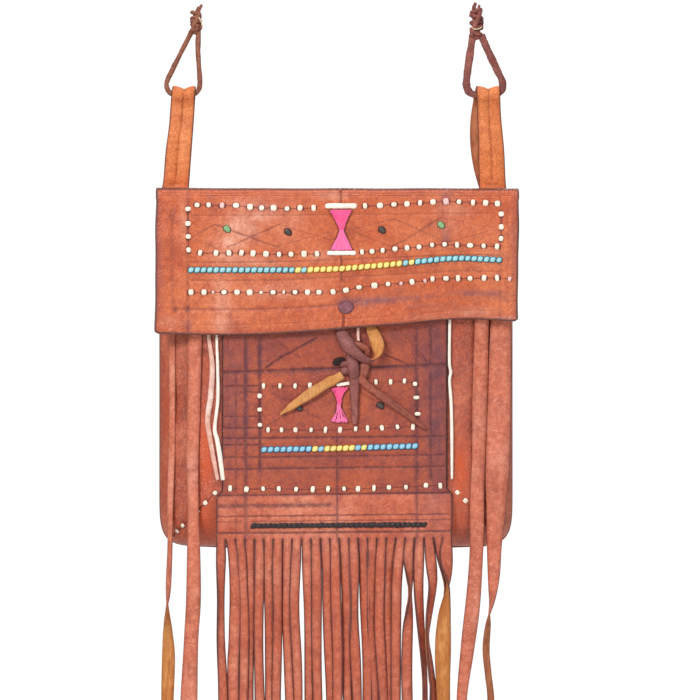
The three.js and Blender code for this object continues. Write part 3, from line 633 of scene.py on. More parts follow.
flesh_pale = suede("flesh_pale", (214, 146, 84), (230, 170, 108), (168, 100, 56))
flesh_dark = suede("inside_suede", (176, 104, 70), (196, 124, 86), (128, 68, 48))
thread_pale = suede("pale_thread", (226, 205, 170), (240, 225, 196), (170, 140, 106))
white_lacing = lacing("white_lacing", (255, 246, 234), (226, 202, 184), 0.42)
cream_lacing = lacing("cream_lacing", (255, 243, 224), (228, 194, 168), 0.45)
rosy_lacing = lacing("rosy_lacing", (244, 200, 196), (206, 136, 126), 0.45)
blue_lacing = lacing("blue_lacing", (88, 176, 194), (36, 102, 124), 0.32, (186, 232, 236))
blue_lacing_deep = lacing("blue_lacing_deep", (84, 164, 206), (38, 96, 144), 0.32, (176, 222, 242))
yellow_lacing = lacing("yellow_lacing", (246, 208, 84), (186, 132, 40), 0.32, (255, 242, 168))
pink_lacing = lacing("pink_lacing", (250, 92, 148), (216, 52, 112))
pink_lacing_pale = lacing("pink_lacing_pale", (250, 122, 176), (222, 78, 138))
green_lacing = lacing("green_lacing", (112, 156, 108), (70, 108, 74), 0.4, (150, 190, 140))
black_lacing = lacing("black_lacing", (50, 43, 43), (26, 22, 24), 0.34, (86, 80, 76))
stain_thread = lacing("stained_thread", (122, 60, 56), (84, 40, 42), 0.6)
rope_lacing = lacing("rope_lacing", (54, 42, 44), (28, 20, 22), 0.45)
# Near-black, for the painted shadow beside the thong knot.
knot_shadow_patch = lacing("knot_shadow_patch", (44, 24, 22), (26, 14, 14), 0.8)
teal_thread = lacing("teal_thread", (44, 74, 88), (28, 44, 56), 0.6)
ochre_thread = lacing("ochre_thread", (150, 100, 34), (104, 62, 26), 0.6)


# The camera looks straight at the front, from far enough that the depth hardly shows.
CAMERA_AWAY = 4.0
VIEW_WIDTH = 0.525
camera_data = bpy.data.cameras.new("camera")
camera_data.sensor_width = 36.0
camera_data.lens = camera_data.sensor_width * CAMERA_AWAY / VIEW_WIDTH
camera_data.clip_end = 30.0
camera = bpy.data.objects.new("camera", camera_data)
camera.location = (0.0101, -CAMERA_AWAY + FLAP_FRONT * MM, -0.24975)
camera.rotation_euler = (math.pi / 2, 0.0, 0.0)
bpy.context.scene.collection.objects.link(camera)
bpy.context.scene.camera = camera


def area_light(name, place, target, size, power, colour=(1.0, 1.0, 1.0)):
    data = bpy.data.lights.new(name, "AREA")
    data.shape = "DISK"
    data.size = size
    data.energy = power
    data.color = colour
    thing = bpy.data.objects.new(name, data)
    thing.location = place
    thing.rotation_euler = (Vector(target) - Vector(place)).to_track_quat("-Z", "Y").to_euler()
    bpy.context.scene.collection.objects.link(thing)


middle = (0.0, 0.0, -0.27)
area_light("key_light", (-0.9, -1.5, 0.75), middle, 0.7, 25.0, (1.0, 0.985, 0.965))
area_light("fill_light", (1.3, -1.5, -0.2), middle, 1.4, 7.5, (0.97, 0.985, 1.0))
area_light("top_light", (0.1, -0.3, 1.1), middle, 0.8, 8.0)
area_light("rear_light", (0.5, 1.6, 0.5), middle, 1.2, 16.0)

world = bpy.data.worlds.new("studio")
world.use_nodes = True
world.node_tree.nodes["Background"].inputs[0].default_value = (1.0, 1.0, 1.0, 1.0)
sky = Wiring(world.node_tree)
shown = sky.out("ShaderNodeLightPath")
sky.feed(world.node_tree.nodes["Background"].inputs[1], sky.math("ADD", 0.28, sky.math("MULTIPLY", shown, 0.77)))
bpy.context.scene.world = world
bpy.context.scene.view_settings.view_transform = "Standard"

floor_material, _, floor_sockets = new_material("floor")
floor_sockets["Base Color"].default_value = (0.82, 0.82, 0.81, 1.0)
floor_sockets["Roughness"].default_value = 0.7
floor_mesh = bpy.data.meshes.new("floor")
FLOOR_Z = -0.66
corners = [(x, y, FLOOR_Z) for x, y in ((-4, -5), (4, -5), (4, 1.6), (-4, 1.6))]
floor_mesh.from_pydata(corners, [], [(0, 1, 2, 3)])
floor_mesh.materials.append(floor_material)
floor = bpy.data.objects.new("floor", floor_mesh)
bpy.context.scene.collection.objects.link(floor)


def finish_piece(thing, body, slot_name, *nodes):
    """The piece rides on a body and stands for its CAD nodes, which are hidden. slot_name is not used."""
    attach(thing, body)
    if nodes:
        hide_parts(*nodes)
    return thing


# The lace loops first: their routes are the CAD's.
LEFT_LACE = [
    (-109.1, -8), (-111.6, -13), (-116.2, -22), (-120.7, -31), (-124.9, -39.5), (-127.9, -45.9),
    (-128.6, -49.6), (-127.3, -53.7), (-124.5, -56.2), (-121, -57), (-116, -57.1), (-111, -57), (-107.2, -56),
    (-104.4, -53.2), (-103.4, -49.2), (-103.5, -43), (-104.1, -35), (-104.7, -26), (-104.7, -17), (-104.4, -8)]
RIGHT_LACE = [
    (103, -11.3), (101.7, -20), (100.4, -29), (99.1, -38), (98.3, -45), (98.2, -49.6), (99.5, -53.7),
    (102.2, -56.1), (105.8, -57), (111, -57.1), (117.5, -57), (121.3, -56), (124.6, -53.2), (125.6, -49.6),
    (124.7, -45.2), (122.2, -40), (119.2, -33.5), (115.8, -26.5), (112.4, -19), (109.4, -11.7)]
LACE_Y = 10.35
LACE_DIAMETER = 3.8
RIGHT_LACE_WIDTH = 5.8


def lace_loop(name, places, material, flatness, width, seed):
    route = curve_through([(x, LACE_Y, z) for x, z in places], 96)
    share = np.linspace(0.0, 1.0, len(route))
    swell = 1.0 + 0.06 * np.sin(share * 34.0 + seed) + 0.04 * np.sin(share * 81.0)
    points, faces = tube(route, width / 2 * swell, 14, flatness, roll=0.35 * np.sin(share * 9.0 + seed),
                         seed=seed, rough=0.05)
    return joined(name, [(points, faces, 0)], [material]), route


def knot(name, centre, radius, height, material, places, seed):
    """A tied knot: wraps round the lace, an over-hand turn and two frayed ends with a pale thread.
    places: each end's stops, their depths counted from the centre's, and its width or, for the thread, None."""
    cx, cy, cz = centre
    shapes = []

    def add_tube(path, radii, sides, flatness=1.0, kind=0, **more):
        shapes.append((*tube(path, radii, sides, flatness, **more), kind))

    for i in range(5):
        share = i / 4.0
        level = cz - height / 2 + height * (0.14 + 0.72 * share)
        size = radius * (0.8 + 0.34 * math.sin(math.pi * (0.18 + 0.64 * share)))
        angle = np.linspace(0.0, math.tau * 1.04, 30)
        tilt = 0.28 * math.sin(i * 2.1 + seed)
        ring = np.stack([cx + size * 0.72 * np.cos(angle), cy + size * 0.68 * np.sin(angle),
                         level + size * tilt * np.cos(angle) + angle * 0.22], axis=-1)
        add_tube(ring, radius * 0.36 * (1.0 + 0.12 * np.sin(angle * 3 + i)), 10, 0.85, seed=seed + i, rough=0.06)
    over = [(cx + radius * x, cy - radius * y, cz + height * z)
            for x, y, z in ((-0.75, 0.5, -0.42), (-0.35, 1.0, -0.12), (0.35, 1.02, 0.2), (0.6, 0.35, 0.46))]
    add_tube(curve_through(over, 16), radius * 0.36, 10, 0.8, seed=seed + 9, rough=0.06)
    core = [(cx, cy, cz - height * 0.5), (cx, cy, cz), (cx + 0.4, cy, cz + height * 0.42)]
    add_tube(curve_through(core, 10), radius * 0.66, 12, 0.9, seed=seed + 7, rough=0.05)
    for offsets, width in places:
        stops = [(x, cy + y, z) for x, y, z in offsets]
        if width is None:
            add_tube(curve_through(stops, 18), 0.35, 6, kind=1)
            continue
        rows = [(x, y, z, width, 20.0 * i) for i, (x, y, z) in enumerate(stops)]
        points, faces, _, _ = ribbon_shape(rows, 1.3, 14, taper=0.45, seed=seed)
        shapes.append((points, faces, 0))
    return joined(name, shapes, [material, thread_pale])


left_loop, left_route = lace_loop("left_lace", LEFT_LACE, cord_leather, 0.94, LACE_DIAMETER, 1)
right_loop, right_route = lace_loop("right_lace", RIGHT_LACE, cord_red, 0.66, RIGHT_LACE_WIDTH, 4)
left_knot = knot("left_tied_knot", (-106.4, LACE_Y, -2.2), 4.1, 17.0, cord_leather, [
    ([(-105.4, 0, 4), (-103.6, -1.5, 8), (-101.8, -1, 11.2)], 3.4),
    ([(-106.6, 0, 4), (-105.4, 1, 7), (-104.4, 0, 9.6)], 3.0),
    ([(-105, -4.3, 2.6), (-103.2, -5.1, 0), (-101.8, -4.6, -3.2), (-101.4, -4.4, -7.5)], None)], 2)
right_knot = knot("right_tied_knot", (105.6, LACE_Y, -3.0), 4.9, 23.0, cord_red, [
    ([(104.4, 0, 5), (103.8, -1.5, 9), (105.2, -1, 12.6)], 4.0),
    ([(105.8, 0, 5), (107.4, -1, 8), (107.8, 0, 11.0)], 3.2),
    ([(101.4, -5.0, -5.5), (104.2, -6.1, -7.6), (108.0, -5.5, -7.0), (109.8, -4.4, -5.4)], None)], 5)
for loop, its_knot, route, wide, words in ((left_loop, left_knot, left_route, LACE_DIAMETER, "left_lace"),
                                           (right_loop, right_knot, right_route, RIGHT_LACE_WIDTH, "right_lace")):
    finish_piece(loop, "root", "cord_leather", words + "_loop")
    finish_piece(its_knot, "root", "cord_leather", words + "_knot")
    metres = [tuple(p * MM for p in row) for row in route]
    length = sum((Vector(q) - Vector(p)).length for p, q in zip(metres, metres[1:]))
    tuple(metres[0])


# The flap and its root inside the back are one sheet, bent over at the back top edge.
FLAP_HALF = 135.75
FLAP_EDGE = [
    (155, 333), (185, 334), (215, 334.5), (260, 334), (300, 332), (345, 328), (372, 326), (400, 324),
    (448, 319), (470, 318), (500, 319.5), (515, 321)]


def flap_drop(x):
    """The flap's lower edge below the bag's top, rounded between the measured places."""
    at = np.asarray(x, dtype=float)
    xs = np.array([photo_x(a) for a, _ in FLAP_EDGE])
    drops = np.array([BAG_TOP - photo_z(b) for _, b in FLAP_EDGE])
    spread = np.linspace(-9.0, 9.0, 7)
    return sum(np.interp(at + shift, xs, drops) for shift in spread) / len(spread)


def flap_bulge(x, z):
    """How far the flap's face stands in front of its plane."""
    low = smooth(-146.0, -170.0, z)
    near_edge = smooth(24.0, 0.0, z - (BAG_TOP - flap_drop(x)))
    hump = 0.55 * waves(x, z, 3, 95.0) + 0.22 * waves(x, z, 5, 30.0)
    lip = 0.7 + 0.9 * waves(x, 0.0 * z, 8, 120.0)
    return low * (hump + 0.5) + near_edge * lip


def flap_face(x, z):
    x, z = np.asarray(x, dtype=float), np.asarray(z, dtype=float)
    over = np.clip(z - FOLD_Z, 0.0, FOLD_RADIUS)
    return FOLD_Y - np.sqrt(np.maximum(FOLD_RADIUS ** 2 - over ** 2, 0.0)) - flap_bulge(x, z)


# Grooves of the flap. Upright: photo x, from y, to y, half width, depth. Level: photo y at the left edge,
# from x, to x, half width, depth; these follow the flap's lower edge as it rises to the right.
FLAP_UPRIGHT = [
    (173, 205, 311, 1.4, 0.4), (188, 190, 333, 1.4, 0.45), (341, 186, 204, 1.0, 0.8),
    (341.5, 256, 282, 0.9, 0.7), (343.5, 315, 333, 0.9, 0.9), (500.5, 186, 322, 1.1, 0.35),
    (508.5, 196, 320, 1.0, 0.25)]
FLAP_LEVEL = [
    (215.5, 192, 500, 1.1, 0.28), (262, 188, 502, 1.1, 0.36), (280, 188, 506, 1.2, 0.34),
    (308.5, 174, 345, 1.4, 0.5), (324, 192, 508, 0.8, 0.18)]
FOLD_GROOVES = (8.4, 10.5)


def flap_share(py):
    """How far down the flap's front a level groove lies, as a share."""
    return (FOLD_Z - photo_z(py)) / (FLAP_LEFT_DROP - FOLD_RADIUS)


def pressed_lines(x, z, uprights, levels, level_gap, upright_ends, level_ends):
    """How deep the grooves are at each place. level_gap gives each place's gap from a level groove. The ends:
    how far outside, and how far inside, each groove's two ends its depth fades, in millimetres."""
    total = np.zeros_like(x)
    out, inside = upright_ends
    for px, top, low, half, depth in uprights:
        span = smooth(photo_z(low) - out[0], photo_z(low) + inside[0], z) \
            * smooth(photo_z(top) + out[1], photo_z(top) - inside[1], z)
        total = np.maximum(total, depth * groove(x - photo_x(px), half) * span)
    out, inside = level_ends
    for py, left, right, half, depth in levels:
        span = smooth(photo_x(left) - out[0], photo_x(left) + inside[0], x) \
            * smooth(photo_x(right) + out[1], photo_x(right) - inside[1], x)
        total = np.maximum(total, depth * groove(level_gap(py), half) * span)
    return total


def flap_tooled(x, z, t):
    """How strongly the flap's front is pressed at each place."""
    total = pressed_lines(x, z, FLAP_UPRIGHT, FLAP_LEVEL,
                          lambda py: (t - flap_share(py)) * (FLAP_LEFT_DROP - FOLD_RADIUS),
                          upright_ends=((2, 2), (1, 1)), level_ends=((2, 3), (0, 3)))
    for px, py in ((175.5, 310), (188.5, 309)):
        mark = np.exp(-((x - photo_x(px)) / 1.5) ** 2 - ((z - photo_z(py)) / 2.4) ** 2)
        total = np.maximum(total, mark)
    return total


def patches(x, z, places):
    """Soft patches from rows of (photo x, photo y, half width and half height in pixels, strength)."""
    total = np.zeros_like(x)
    for px, py, wide, high, strength in places:
        gap = ((x - photo_x(px)) / (wide * PIXEL)) ** 2 + ((z - photo_z(py)) / (high * PIXEL)) ** 2
        total = np.maximum(total, strength * np.exp(-gap))
    return total


# Where the flap's colour is painted paler as a satin sheen and highlight, and where it is stained purple.
FLAP_PAINTED_SHEEN = [
    (240, 228, 15, 14, 0.95), (256, 216, 22, 8, 0.6), (232, 243, 14, 9, 0.85), (228, 256, 17, 7, 0.6),
    (250, 205, 26, 7, 0.45), (222, 300, 9, 24, 0.55), (221, 325, 8, 12, 0.6), (255, 262, 30, 6, 0.35),
    (276, 292, 40, 8, 0.35), (290, 222, 16, 20, 0.25), (455, 210, 18, 9, 0.3), (448, 226, 14, 12, 0.22),
    (505, 318.5, 16, 2.4, 0.9), (470, 313, 22, 5, 0.35), (440, 318, 30, 3, 0.3), (184, 222, 5, 26, 0.3),
    (332, 196, 16, 5, 0.45), (320, 256, 12, 5, 0.4), (170, 322, 12, 6, 0.3), (490, 256, 14, 6, 0.25)]
FLAP_STAINED = [
    (346, 303, 8, 4.5, 0.95), (362, 301.5, 16, 4.4, 1.0), (380, 300, 18, 3.6, 1.0), (402, 298.5, 18, 2.2, 0.55),
    (425, 296.5, 18, 1.8, 0.45), (470, 293.5, 16, 3, 0.7), (490, 294, 14, 3.4, 0.7), (503, 297, 8, 4, 0.35),
    (446, 196, 8, 7, 0.5), (446, 238, 4, 8, 0.6), (442, 200, 5, 10, 0.45), (159, 262, 3, 60, 0.4),
    (188, 326, 4, 12, 0.4), (209, 197, 3, 3, 0.5), (514, 250, 3, 60, 0.35), (430, 306, 24, 4, 0.22)]


def build_flap():
    half_turn = [math.radians(a) for a in (0, 15, 30, 45, 60, 75, 90)]
    rows = [(ROOT_Y, z, ROOT_HALF) for z in np.linspace(-172.0, -133.5, 10)]
    rows += [(5.6 + ROOT_BEND_RADIUS * math.cos(a), ROOT_BEND_Z + ROOT_BEND_RADIUS * math.sin(a),
              ROOT_HALF + (FLAP_HALF - ROOT_HALF) * math.sin(a)) for a in half_turn]
    rows += [(y, BAG_TOP, FLAP_HALF) for y in np.linspace(3.5, FOLD_Y + 1.0, 9)]
    near_ends = [side * (FLAP_HALF - gap) for gap in (0.0, 0.7, 1.7, 3.2, 5.2) for side in (-1, 1)]
    columns = sorted(set(near_ends) | set(np.linspace(-128.0, 128.0, 110)))
    # The notch's three grooves share one place, so that their close columns don't crowd.
    groove_px = sorted({px for px, *_ in FLAP_UPRIGHT} - {341.5, 343.5} | {343.6})
    columns = with_marks(columns, [photo_x(px) for px in groove_px])
    made, marks = [], {"tooled": [], "edge": [], "painted_sheen": [], "stained": []}

    def add_row(x, y, z, tooled=0.0, edge=0.0, spots_at=None):
        """One row of the sheet, and its marks. spots_at: the x and z where its painted sheen and stained spots are
        read.
        """
        made.append(np.stack(np.broadcast_arrays(x, y, z), axis=-1))
        marks["tooled"].append(tooled + 0 * x)
        marks["edge"].append(edge + 0 * x)
        for key, spots in (("painted_sheen", FLAP_PAINTED_SHEEN), ("stained", FLAP_STAINED)):
            marks[key].append(0 * x if spots_at is None else patches(*spots_at, spots))

    for y, z, half in rows:
        x = columns * (half / FLAP_HALF) + 0.7
        at_top = z >= BAG_TOP - 0.01
        up = z + (0.25 * waves(x, 0.0 * x + y, 21, 60.0) if at_top else 0.0)
        add_row(x, y, up, 0.0, 0.9 if at_top and y < FOLD_Y + 2.5 else 0.0)
    arc = with_marks(np.linspace(0.0, FOLD_RADIUS * math.pi / 2, 14), FOLD_GROOVES, 0.55)
    for angle in arc / FOLD_RADIUS:
        sine, cosine = math.sin(angle), math.cos(angle)
        x = columns + 0.7
        z = np.full_like(x, FOLD_Z + FOLD_RADIUS * cosine)
        up = z + 0.25 * waves(x, 0.0 * x + FOLD_Y, 21, 60.0) * cosine
        pressed = 0.5 * sum(groove(angle * FOLD_RADIUS - g, 0.6) for g in FOLD_GROOVES)
        pressed = pressed * smooth(-133.0, -130.0, x) * smooth(133.0, 130.0, x)
        pressed = pressed * (0.75 + 0.25 * waves(x, 0.0 * x, 24, 30.0))
        pressed = np.maximum(pressed, flap_tooled(x, z, 0 * x - 1.0))
        y = FOLD_Y - FOLD_RADIUS * sine - flap_bulge(x, z) * sine + 0.3 * pressed * sine
        add_row(x, y, up - 0.3 * pressed * cosine, pressed, 0.94 * (1.0 - float(smooth(0.62, 1.0, angle))), (x, z))
    down = list(np.linspace(0.0, 0.93, 56)[1:]) + [0.95, 0.966, 0.98, 0.99, 1.0]
    down = with_marks(down, [flap_share(py) for py, *_ in FLAP_LEVEL], 0.0105)
    for t in down:
        reach = flap_drop(columns) - FOLD_RADIUS
        z = FOLD_Z - t * reach
        low = (1.0 - t) * reach
        pull = np.where(low < 2.4, 2.4 - np.sqrt(np.maximum(2.4 ** 2 - (2.4 - low) ** 2, 0.0)), 0.0)
        edge = FLAP_HALF - pull + 0.35 * waves(z, 0.0 * z, 31, 45.0)
        x = columns * (edge / FLAP_HALF) + 0.9 * (1.0 - t) - 0.2
        pressed = flap_tooled(x, z, t)
        add_row(x, flap_face(x, z) + 0.3 * pressed, z, pressed, spots_at=(x, z))
    return leather_sheet("flap_sheet", made, 2.0, [flap_leather, flesh_dark], rim=2.7, marks=marks)


flap = build_flap()
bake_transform(flap)
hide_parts("flap", "flap_root_strip")


# The pouch: a gusset that is puffed round its edge, and a flat back.
def corner_place(side, angle, inset):
    norm = (abs(math.cos(angle)) ** CORNER_POWER + abs(math.sin(angle)) ** CORNER_POWER) ** (1 / CORNER_POWER)
    reach = (CORNER_REACH / norm) * (1 - inset / CORNER_REACH)
    x = side * (BAG_HALF - CORNER_REACH + reach * math.cos(angle))
    return x, BAG_BOTTOM + CORNER_REACH - reach * math.sin(angle)


def gusset_face(share):
    angle = share * math.pi / 2
    return GUSSET_WIDTH * (1 - math.cos(angle)), GUSSET_BACK - GUSSET_DEPTH * math.sin(angle)


def gusset_stations():
    """(side, how far down or round, and the place for an inset) all the way round the pouch."""
    left = []
    for z in np.linspace(MOUTH_Z, BAG_BOTTOM + CORNER_REACH, 56)[:-1]:
        left.append((0.0, lambda inset, z=z: (-BAG_HALF + inset, z)))
    for angle in np.linspace(0.0, math.pi / 2, 46):
        left.append((math.exp(-((math.degrees(angle) - 45.0) / 3.2) ** 2),
                     lambda inset, a=angle: corner_place(-1, a, inset)))
    run = [(0.0, lambda inset, x=x: (x, BAG_BOTTOM + inset)) for x in np.linspace(-77.0, 77.0, 42)[1:-1]]
    right = [(crease, lambda inset, f=f: (-f(inset)[0], f(inset)[1])) for crease, f in reversed(left)]
    return left + run + right


def back_spread(x, y):
    """The pouch is a little wider toward its back, most at the left."""
    return 1.0 + np.where(np.asarray(x) < 0, 0.012, 0.004) * smooth(-14.0, 8.0, y)


# Where the gusset is stained a strong orange.
GUSSET_STAINED = [
    (205, 455, 8, 46, 0.95), (204, 520, 13, 22, 0.9), (208, 538, 12, 9, 0.7), (461, 470, 8, 34, 0.95),
    (458, 520, 10, 14, 0.7), (176, 536, 8, 8, 0.35), (166, 420, 4, 60, 0.25)]


def build_gusset():
    shares = np.linspace(0.0, 1.0, 27)
    section = [gusset_face(s) for s in shares] + [(45.5, LAP_FACE), (48.5, LAP_FACE), (LAP_INSET, LAP_FACE)]
    span = np.linspace(0.0, 1.0, len(section))
    middle_part = np.sin(np.pi * np.clip(np.arange(len(section)) / 26.0, 0, 1)) ** 0.7
    made, stained = [], []
    for crease, place in gusset_stations():
        row = np.array([(x * back_spread(x, y), y, z) for (x, z), y in ((place(inset), y) for inset, y in section)])
        ahead = unit(np.gradient(row, axis=0))
        run = unit(np.array([place(20.0)[0] - place(0.0)[0], 0.0, place(20.0)[1] - place(0.0)[1]]))
        outward = unit(np.stack([ahead[:, 1] * run[0], -np.linalg.norm(ahead[:, [0, 2]], axis=1),
                                 ahead[:, 1] * run[2]], axis=-1))
        swell = 0.75 * waves(row[:, 0], row[:, 2] + row[:, 1], 41, 62.0) \
            + 0.35 * waves(row[:, 0] + row[:, 1], row[:, 2], 42, 21.0)
        pucker = -1.5 * crease * np.sin(np.pi * np.clip(span * 1.05, 0, 1))
        row = row + outward * (np.minimum(swell, 0.55) * middle_part + pucker * middle_part)[:, None]
        made.append(row)
        stained.append(patches(row[:, 0], row[:, 2], GUSSET_STAINED))
    return leather_sheet("gusset_sheet", made, 2.0, [side_leather, flesh_dark], rim=4.0,
                         marks={"stained": stained})


finish_piece(build_gusset(), "root", "side_leather", "gusset")


def build_back():
    def half_at(z):
        over = np.clip((BAG_BOTTOM + CORNER_REACH - z) / CORNER_REACH, 0.0, 1.0)
        return BAG_HALF - CORNER_REACH + CORNER_REACH * (1 - over ** CORNER_POWER) ** (1 / CORNER_POWER)
    levels = list(np.linspace(-128.6, BAG_BOTTOM + CORNER_REACH, 60))
    levels += [BAG_BOTTOM + CORNER_REACH * (1 - s) for s in np.linspace(0, 1, 30)[1:] ** 0.55]
    columns = np.concatenate([[-1.0, -0.994, -0.985, -0.97], np.linspace(-0.95, 0.95, 84), [0.97, 0.985, 0.994, 1.0]])
    made = []
    for z in levels:
        x = -columns * half_at(z)
        x = x * back_spread(x, BACK_OUTER)
        stitch_line = np.exp(-((np.abs(x) - half_at(z) + 5.0) / 0.9) ** 2)
        y = BACK_OUTER - 0.28 * (1 + waves(x, z + 0 * x, 51, 70.0)) * 0.5 - 0.35 * stitch_line
        made.append(np.stack([x, y, np.full_like(x, z)], axis=-1))
    return leather_sheet("back_sheet", made, 2.0, [back_leather, flesh_dark], rim=2.4)


finish_piece(build_back(), "root", "side_leather", "back_panel")


# The front panel, its apron and its fringe are one sheet.
STRIP_COUNT = 25
STRIP_PITCH = 7.08
APRON_LEFT = -90.0
APRON_BOTTOM = -392.0
PANEL_MIDDLE = -1.5
FRINGE_LENGTH = 186.0


def panel_face(x, z):
    x, z = np.asarray(x, dtype=float), np.asarray(z, dtype=float)
    edge = smooth(0.0, 14.0, PANEL_HALF - np.abs(x - PANEL_MIDDLE))
    loose = smooth(APRON_FOLD_Z, -384.0, z)
    hump = (0.45 + 0.4 * waves(x, z, 11, 74.0) + 0.16 * waves(x, z, 12, 22.0)) * np.maximum(edge, loose)
    apron = loose * (0.8 + 1.0 * waves(x, z * 0.25, 13, 52.0))
    seam = 0.5 * np.exp(-((z + 352.5) / 3.0) ** 2)
    return PANEL_FRONT - hump - apron + seam


# Strips that the photograph shows apart: (below the apron, shift sideways, width share, turn, shift in depth).
PARTED = {
    0: [(0, 0, 1, 0, 0), (12, 0.2, 0.95, 10, 0), (30, -0.2, 0.9, 34, 0), (48, -0.2, 0.86, 46, 0.4),
        (75, 0.3, 0.9, 36, 0), (100, 1.6, 0.96, 20, 0), (119, 2.0, 1, 12, 0), (186, 1.4, 1, -10, 0)],
    1: [(0, 0, 1, 0, 0), (14, 2.4, 1, 5, -0.6), (45, 4.0, 1.1, -6, -1), (75, 3.4, 1.15, -8, -1),
        (105, 1.8, 1.15, 0, -1), (186, 2.4, 0.95, 12, 0)],
    16: [(0, 0, 1, 0, 0), (24, -0.8, 1, 8, 0.8), (60, -0.8, 1, 20, 1.2), (100, 1.4, 1, -8, 1.2),
        (186, 4.4, 0.9, -20, 0.6)],
    17: [(0, 0, 1, 0, 0), (24, -1.4, 1, -12, -0.8), (60, -1.6, 1, -6, -0.9), (100, 0.4, 1.05, 14, -0.9),
        (186, 4.0, 0.9, 30, -0.4)],
    18: [(0, 0, 1, 0, 0), (24, -2.0, 1, 16, 1.2), (60, -2.6, 1, 10, 1.4), (100, -2.6, 1, -14, 1.4),
        (186, -1, 0.9, 20, 0.8)],
    19: [(0, 0, 1, 0, 0), (16, -1.4, 1, 4, -0.6), (40, -3.2, 1, 0, -1.0), (74, -4.0, 1, 0, -1.0),
        (119, -3.2, 1, 6, -1), (186, -2.6, 0.95, 18, 0)],
    20: [(0, 0, 1, 0, 0), (14, -1.2, 1.05, 20, -0.5), (30, 0.0, 1, 56, -0.5), (42, 0.3, 1, 82, -0.5),
        (56, -0.4, 1, 52, -0.8), (74, -1.6, 1.08, 16, -1.2), (119, -2.0, 1.1, 4, -1.6),
        (186, -1, 0.95, -14, -1)],
    21: [(0, 0, 1, 0, 0), (18, -0.4, 1, 6, 0.4), (36, -0.3, 1, 22, 0.6), (60, 1.3, 0.95, 42, 1.0),
        (90, 3.4, 0.9, 60, 1.2), (119, 4.2, 0.9, 66, 1.4), (186, 3.6, 0.85, 40, 0.6)],
    22: [(0, 0, 1, 0, 0), (12, 1.2, 1.05, 8, -0.4), (24, 2.6, 1.05, 16, -0.5), (37, 3.4, 1, 44, -0.6),
        (60, 0.1, 1, 64, -1), (75, -1.2, 1, 80, -1), (90, 0.5, 1, 68, -0.8), (105, 2.6, 1, 60, -0.6),
        (119, 4.0, 1, 52, -0.4), (186, 3.0, 0.9, 20, 0)],
    23: [(0, 0, 1, 0, 0), (14, 2.6, 0.95, 10, 1.8), (34, 6.2, 0.7, 66, 2.4), (50, 5.6, 0.8, 60, 2.6),
        (76, 3.2, 0.9, 30, 2.8), (119, 2.8, 0.9, 24, 2.8), (186, 0.4, 0.85, 12, 2.4)],
    24: [(0, 0, 1.1, 0, 0), (12, -0.8, 1.3, 12, -0.4), (22, 0.0, 1.25, 34, -0.7), (34, 1.5, 1.1, 82, -1.0),
        (46, 0.2, 1.2, 118, -1.3), (60, -1.6, 1.4, 148, -1.5), (85, -3.0, 1.6, 170, -1.6),
        (119, -3.4, 1.35, 174, -1.2), (186, -1.8, 1.2, 160, -1)],
}
NUDGE = {2: 2.6, 3: -0.3, 5: 0.8, 6: -0.8, 8: -1.4, 9: 1.5, 10: 0.4, 11: 2.4, 12: 1.2, 13: 1.6, 14: 0.6, 15: 2.0,
         16: 1.0, 17: 2.2, 18: 0.6}


def strip_course(k):
    """The strip's way down as rows of (below the apron, sideways, width share, turn, depth)."""
    if k in PARTED:
        return PARTED[k]
    place = random.Random(70 + k)
    side = NUDGE.get(k, 0.0)
    lean = 0.0 if k < 7 else 1.6 + place.uniform(-0.6, 0.6)
    deep = (1.1 if k % 2 else -0.7) + place.uniform(-0.4, 0.4)
    turn = place.uniform(-26.0, 26.0)
    return [(0, 0, 1, 0, 0), (20, side * 0.6, 1, turn * 0.35, deep * 0.7),
            (55, side, place.uniform(0.94, 1.06), turn, deep),
            (90, side + lean * 0.6, place.uniform(0.92, 1.06), turn * place.uniform(-0.4, 0.9), deep * 1.2),
            (125, side + lean, place.uniform(0.9, 1.04), turn * place.uniform(-1.0, 1.0), deep),
            (160, side + lean * 1.2, 0.93, place.uniform(-40, 40), deep * 0.6),
            (190, side + lean, 0.86, place.uniform(-55, 55), deep * 0.3)]


# Grooves of the panel and the apron. Upright: photo x, from y, to y, half width, depth.
PANEL_UPRIGHT = [
    (228, 338, 482, 0.8, 0.22), (236, 376, 545, 1.0, 0.4), (245.7, 338, 545, 2.0, 0.5),
    (259.7, 338, 472, 1.5, 0.6), (337.2, 432, 540, 1.0, 0.5), (417, 328, 542, 2.0, 0.5),
    (431, 326, 480, 1.4, 0.55)]
# Level: photo y at the left, from x, to x, half width, depth.
PANEL_LEVEL = [
    (372.5, 221, 447, 1.5, 0.75), (386.6, 221, 262, 1.1, 0.6), (393, 238, 262, 0.9, 0.4),
    (417, 224, 262, 1.0, 0.5), (428.5, 221, 264, 1.1, 0.6), (438.8, 222, 447, 1.2, 0.65),
    (445.4, 224, 262, 0.9, 0.6), (457.8, 222, 447, 1.1, 0.55), (469.6, 222, 447, 1.2, 0.6),
    (496, 217, 454, 1.1, 0.7), (506.5, 217, 332, 2.2, 0.55), (509, 330, 454, 1.1, 0.45),
    (517, 217, 454, 0.9, 0.55), (522.5, 217, 454, 0.8, 0.4), (533.5, 217, 454, 1.1, 0.65),
    (541.5, 217, 454, 1.0, 0.6)]
PANEL_STAINED = [
    (245.7, 400, 3.4, 90, 0.8), (259.9, 352, 2.8, 22, 0.9), (259.9, 420, 2.2, 60, 0.55),
    (417, 400, 4, 90, 0.65), (430, 380, 3, 70, 0.7), (231, 392, 11, 80, 0.6), (300, 336, 90, 5, 0.4),
    (437, 400, 14, 110, 0.85), (424, 350, 7, 30, 0.6), (240, 445, 14, 14, 0.35), (350, 372, 60, 8, 0.25),
    (330, 456, 60, 7, 0.25), (337, 480, 3, 60, 0.4), (438, 338, 13, 30, 0.6), (395, 336, 10, 10, 0.4)]


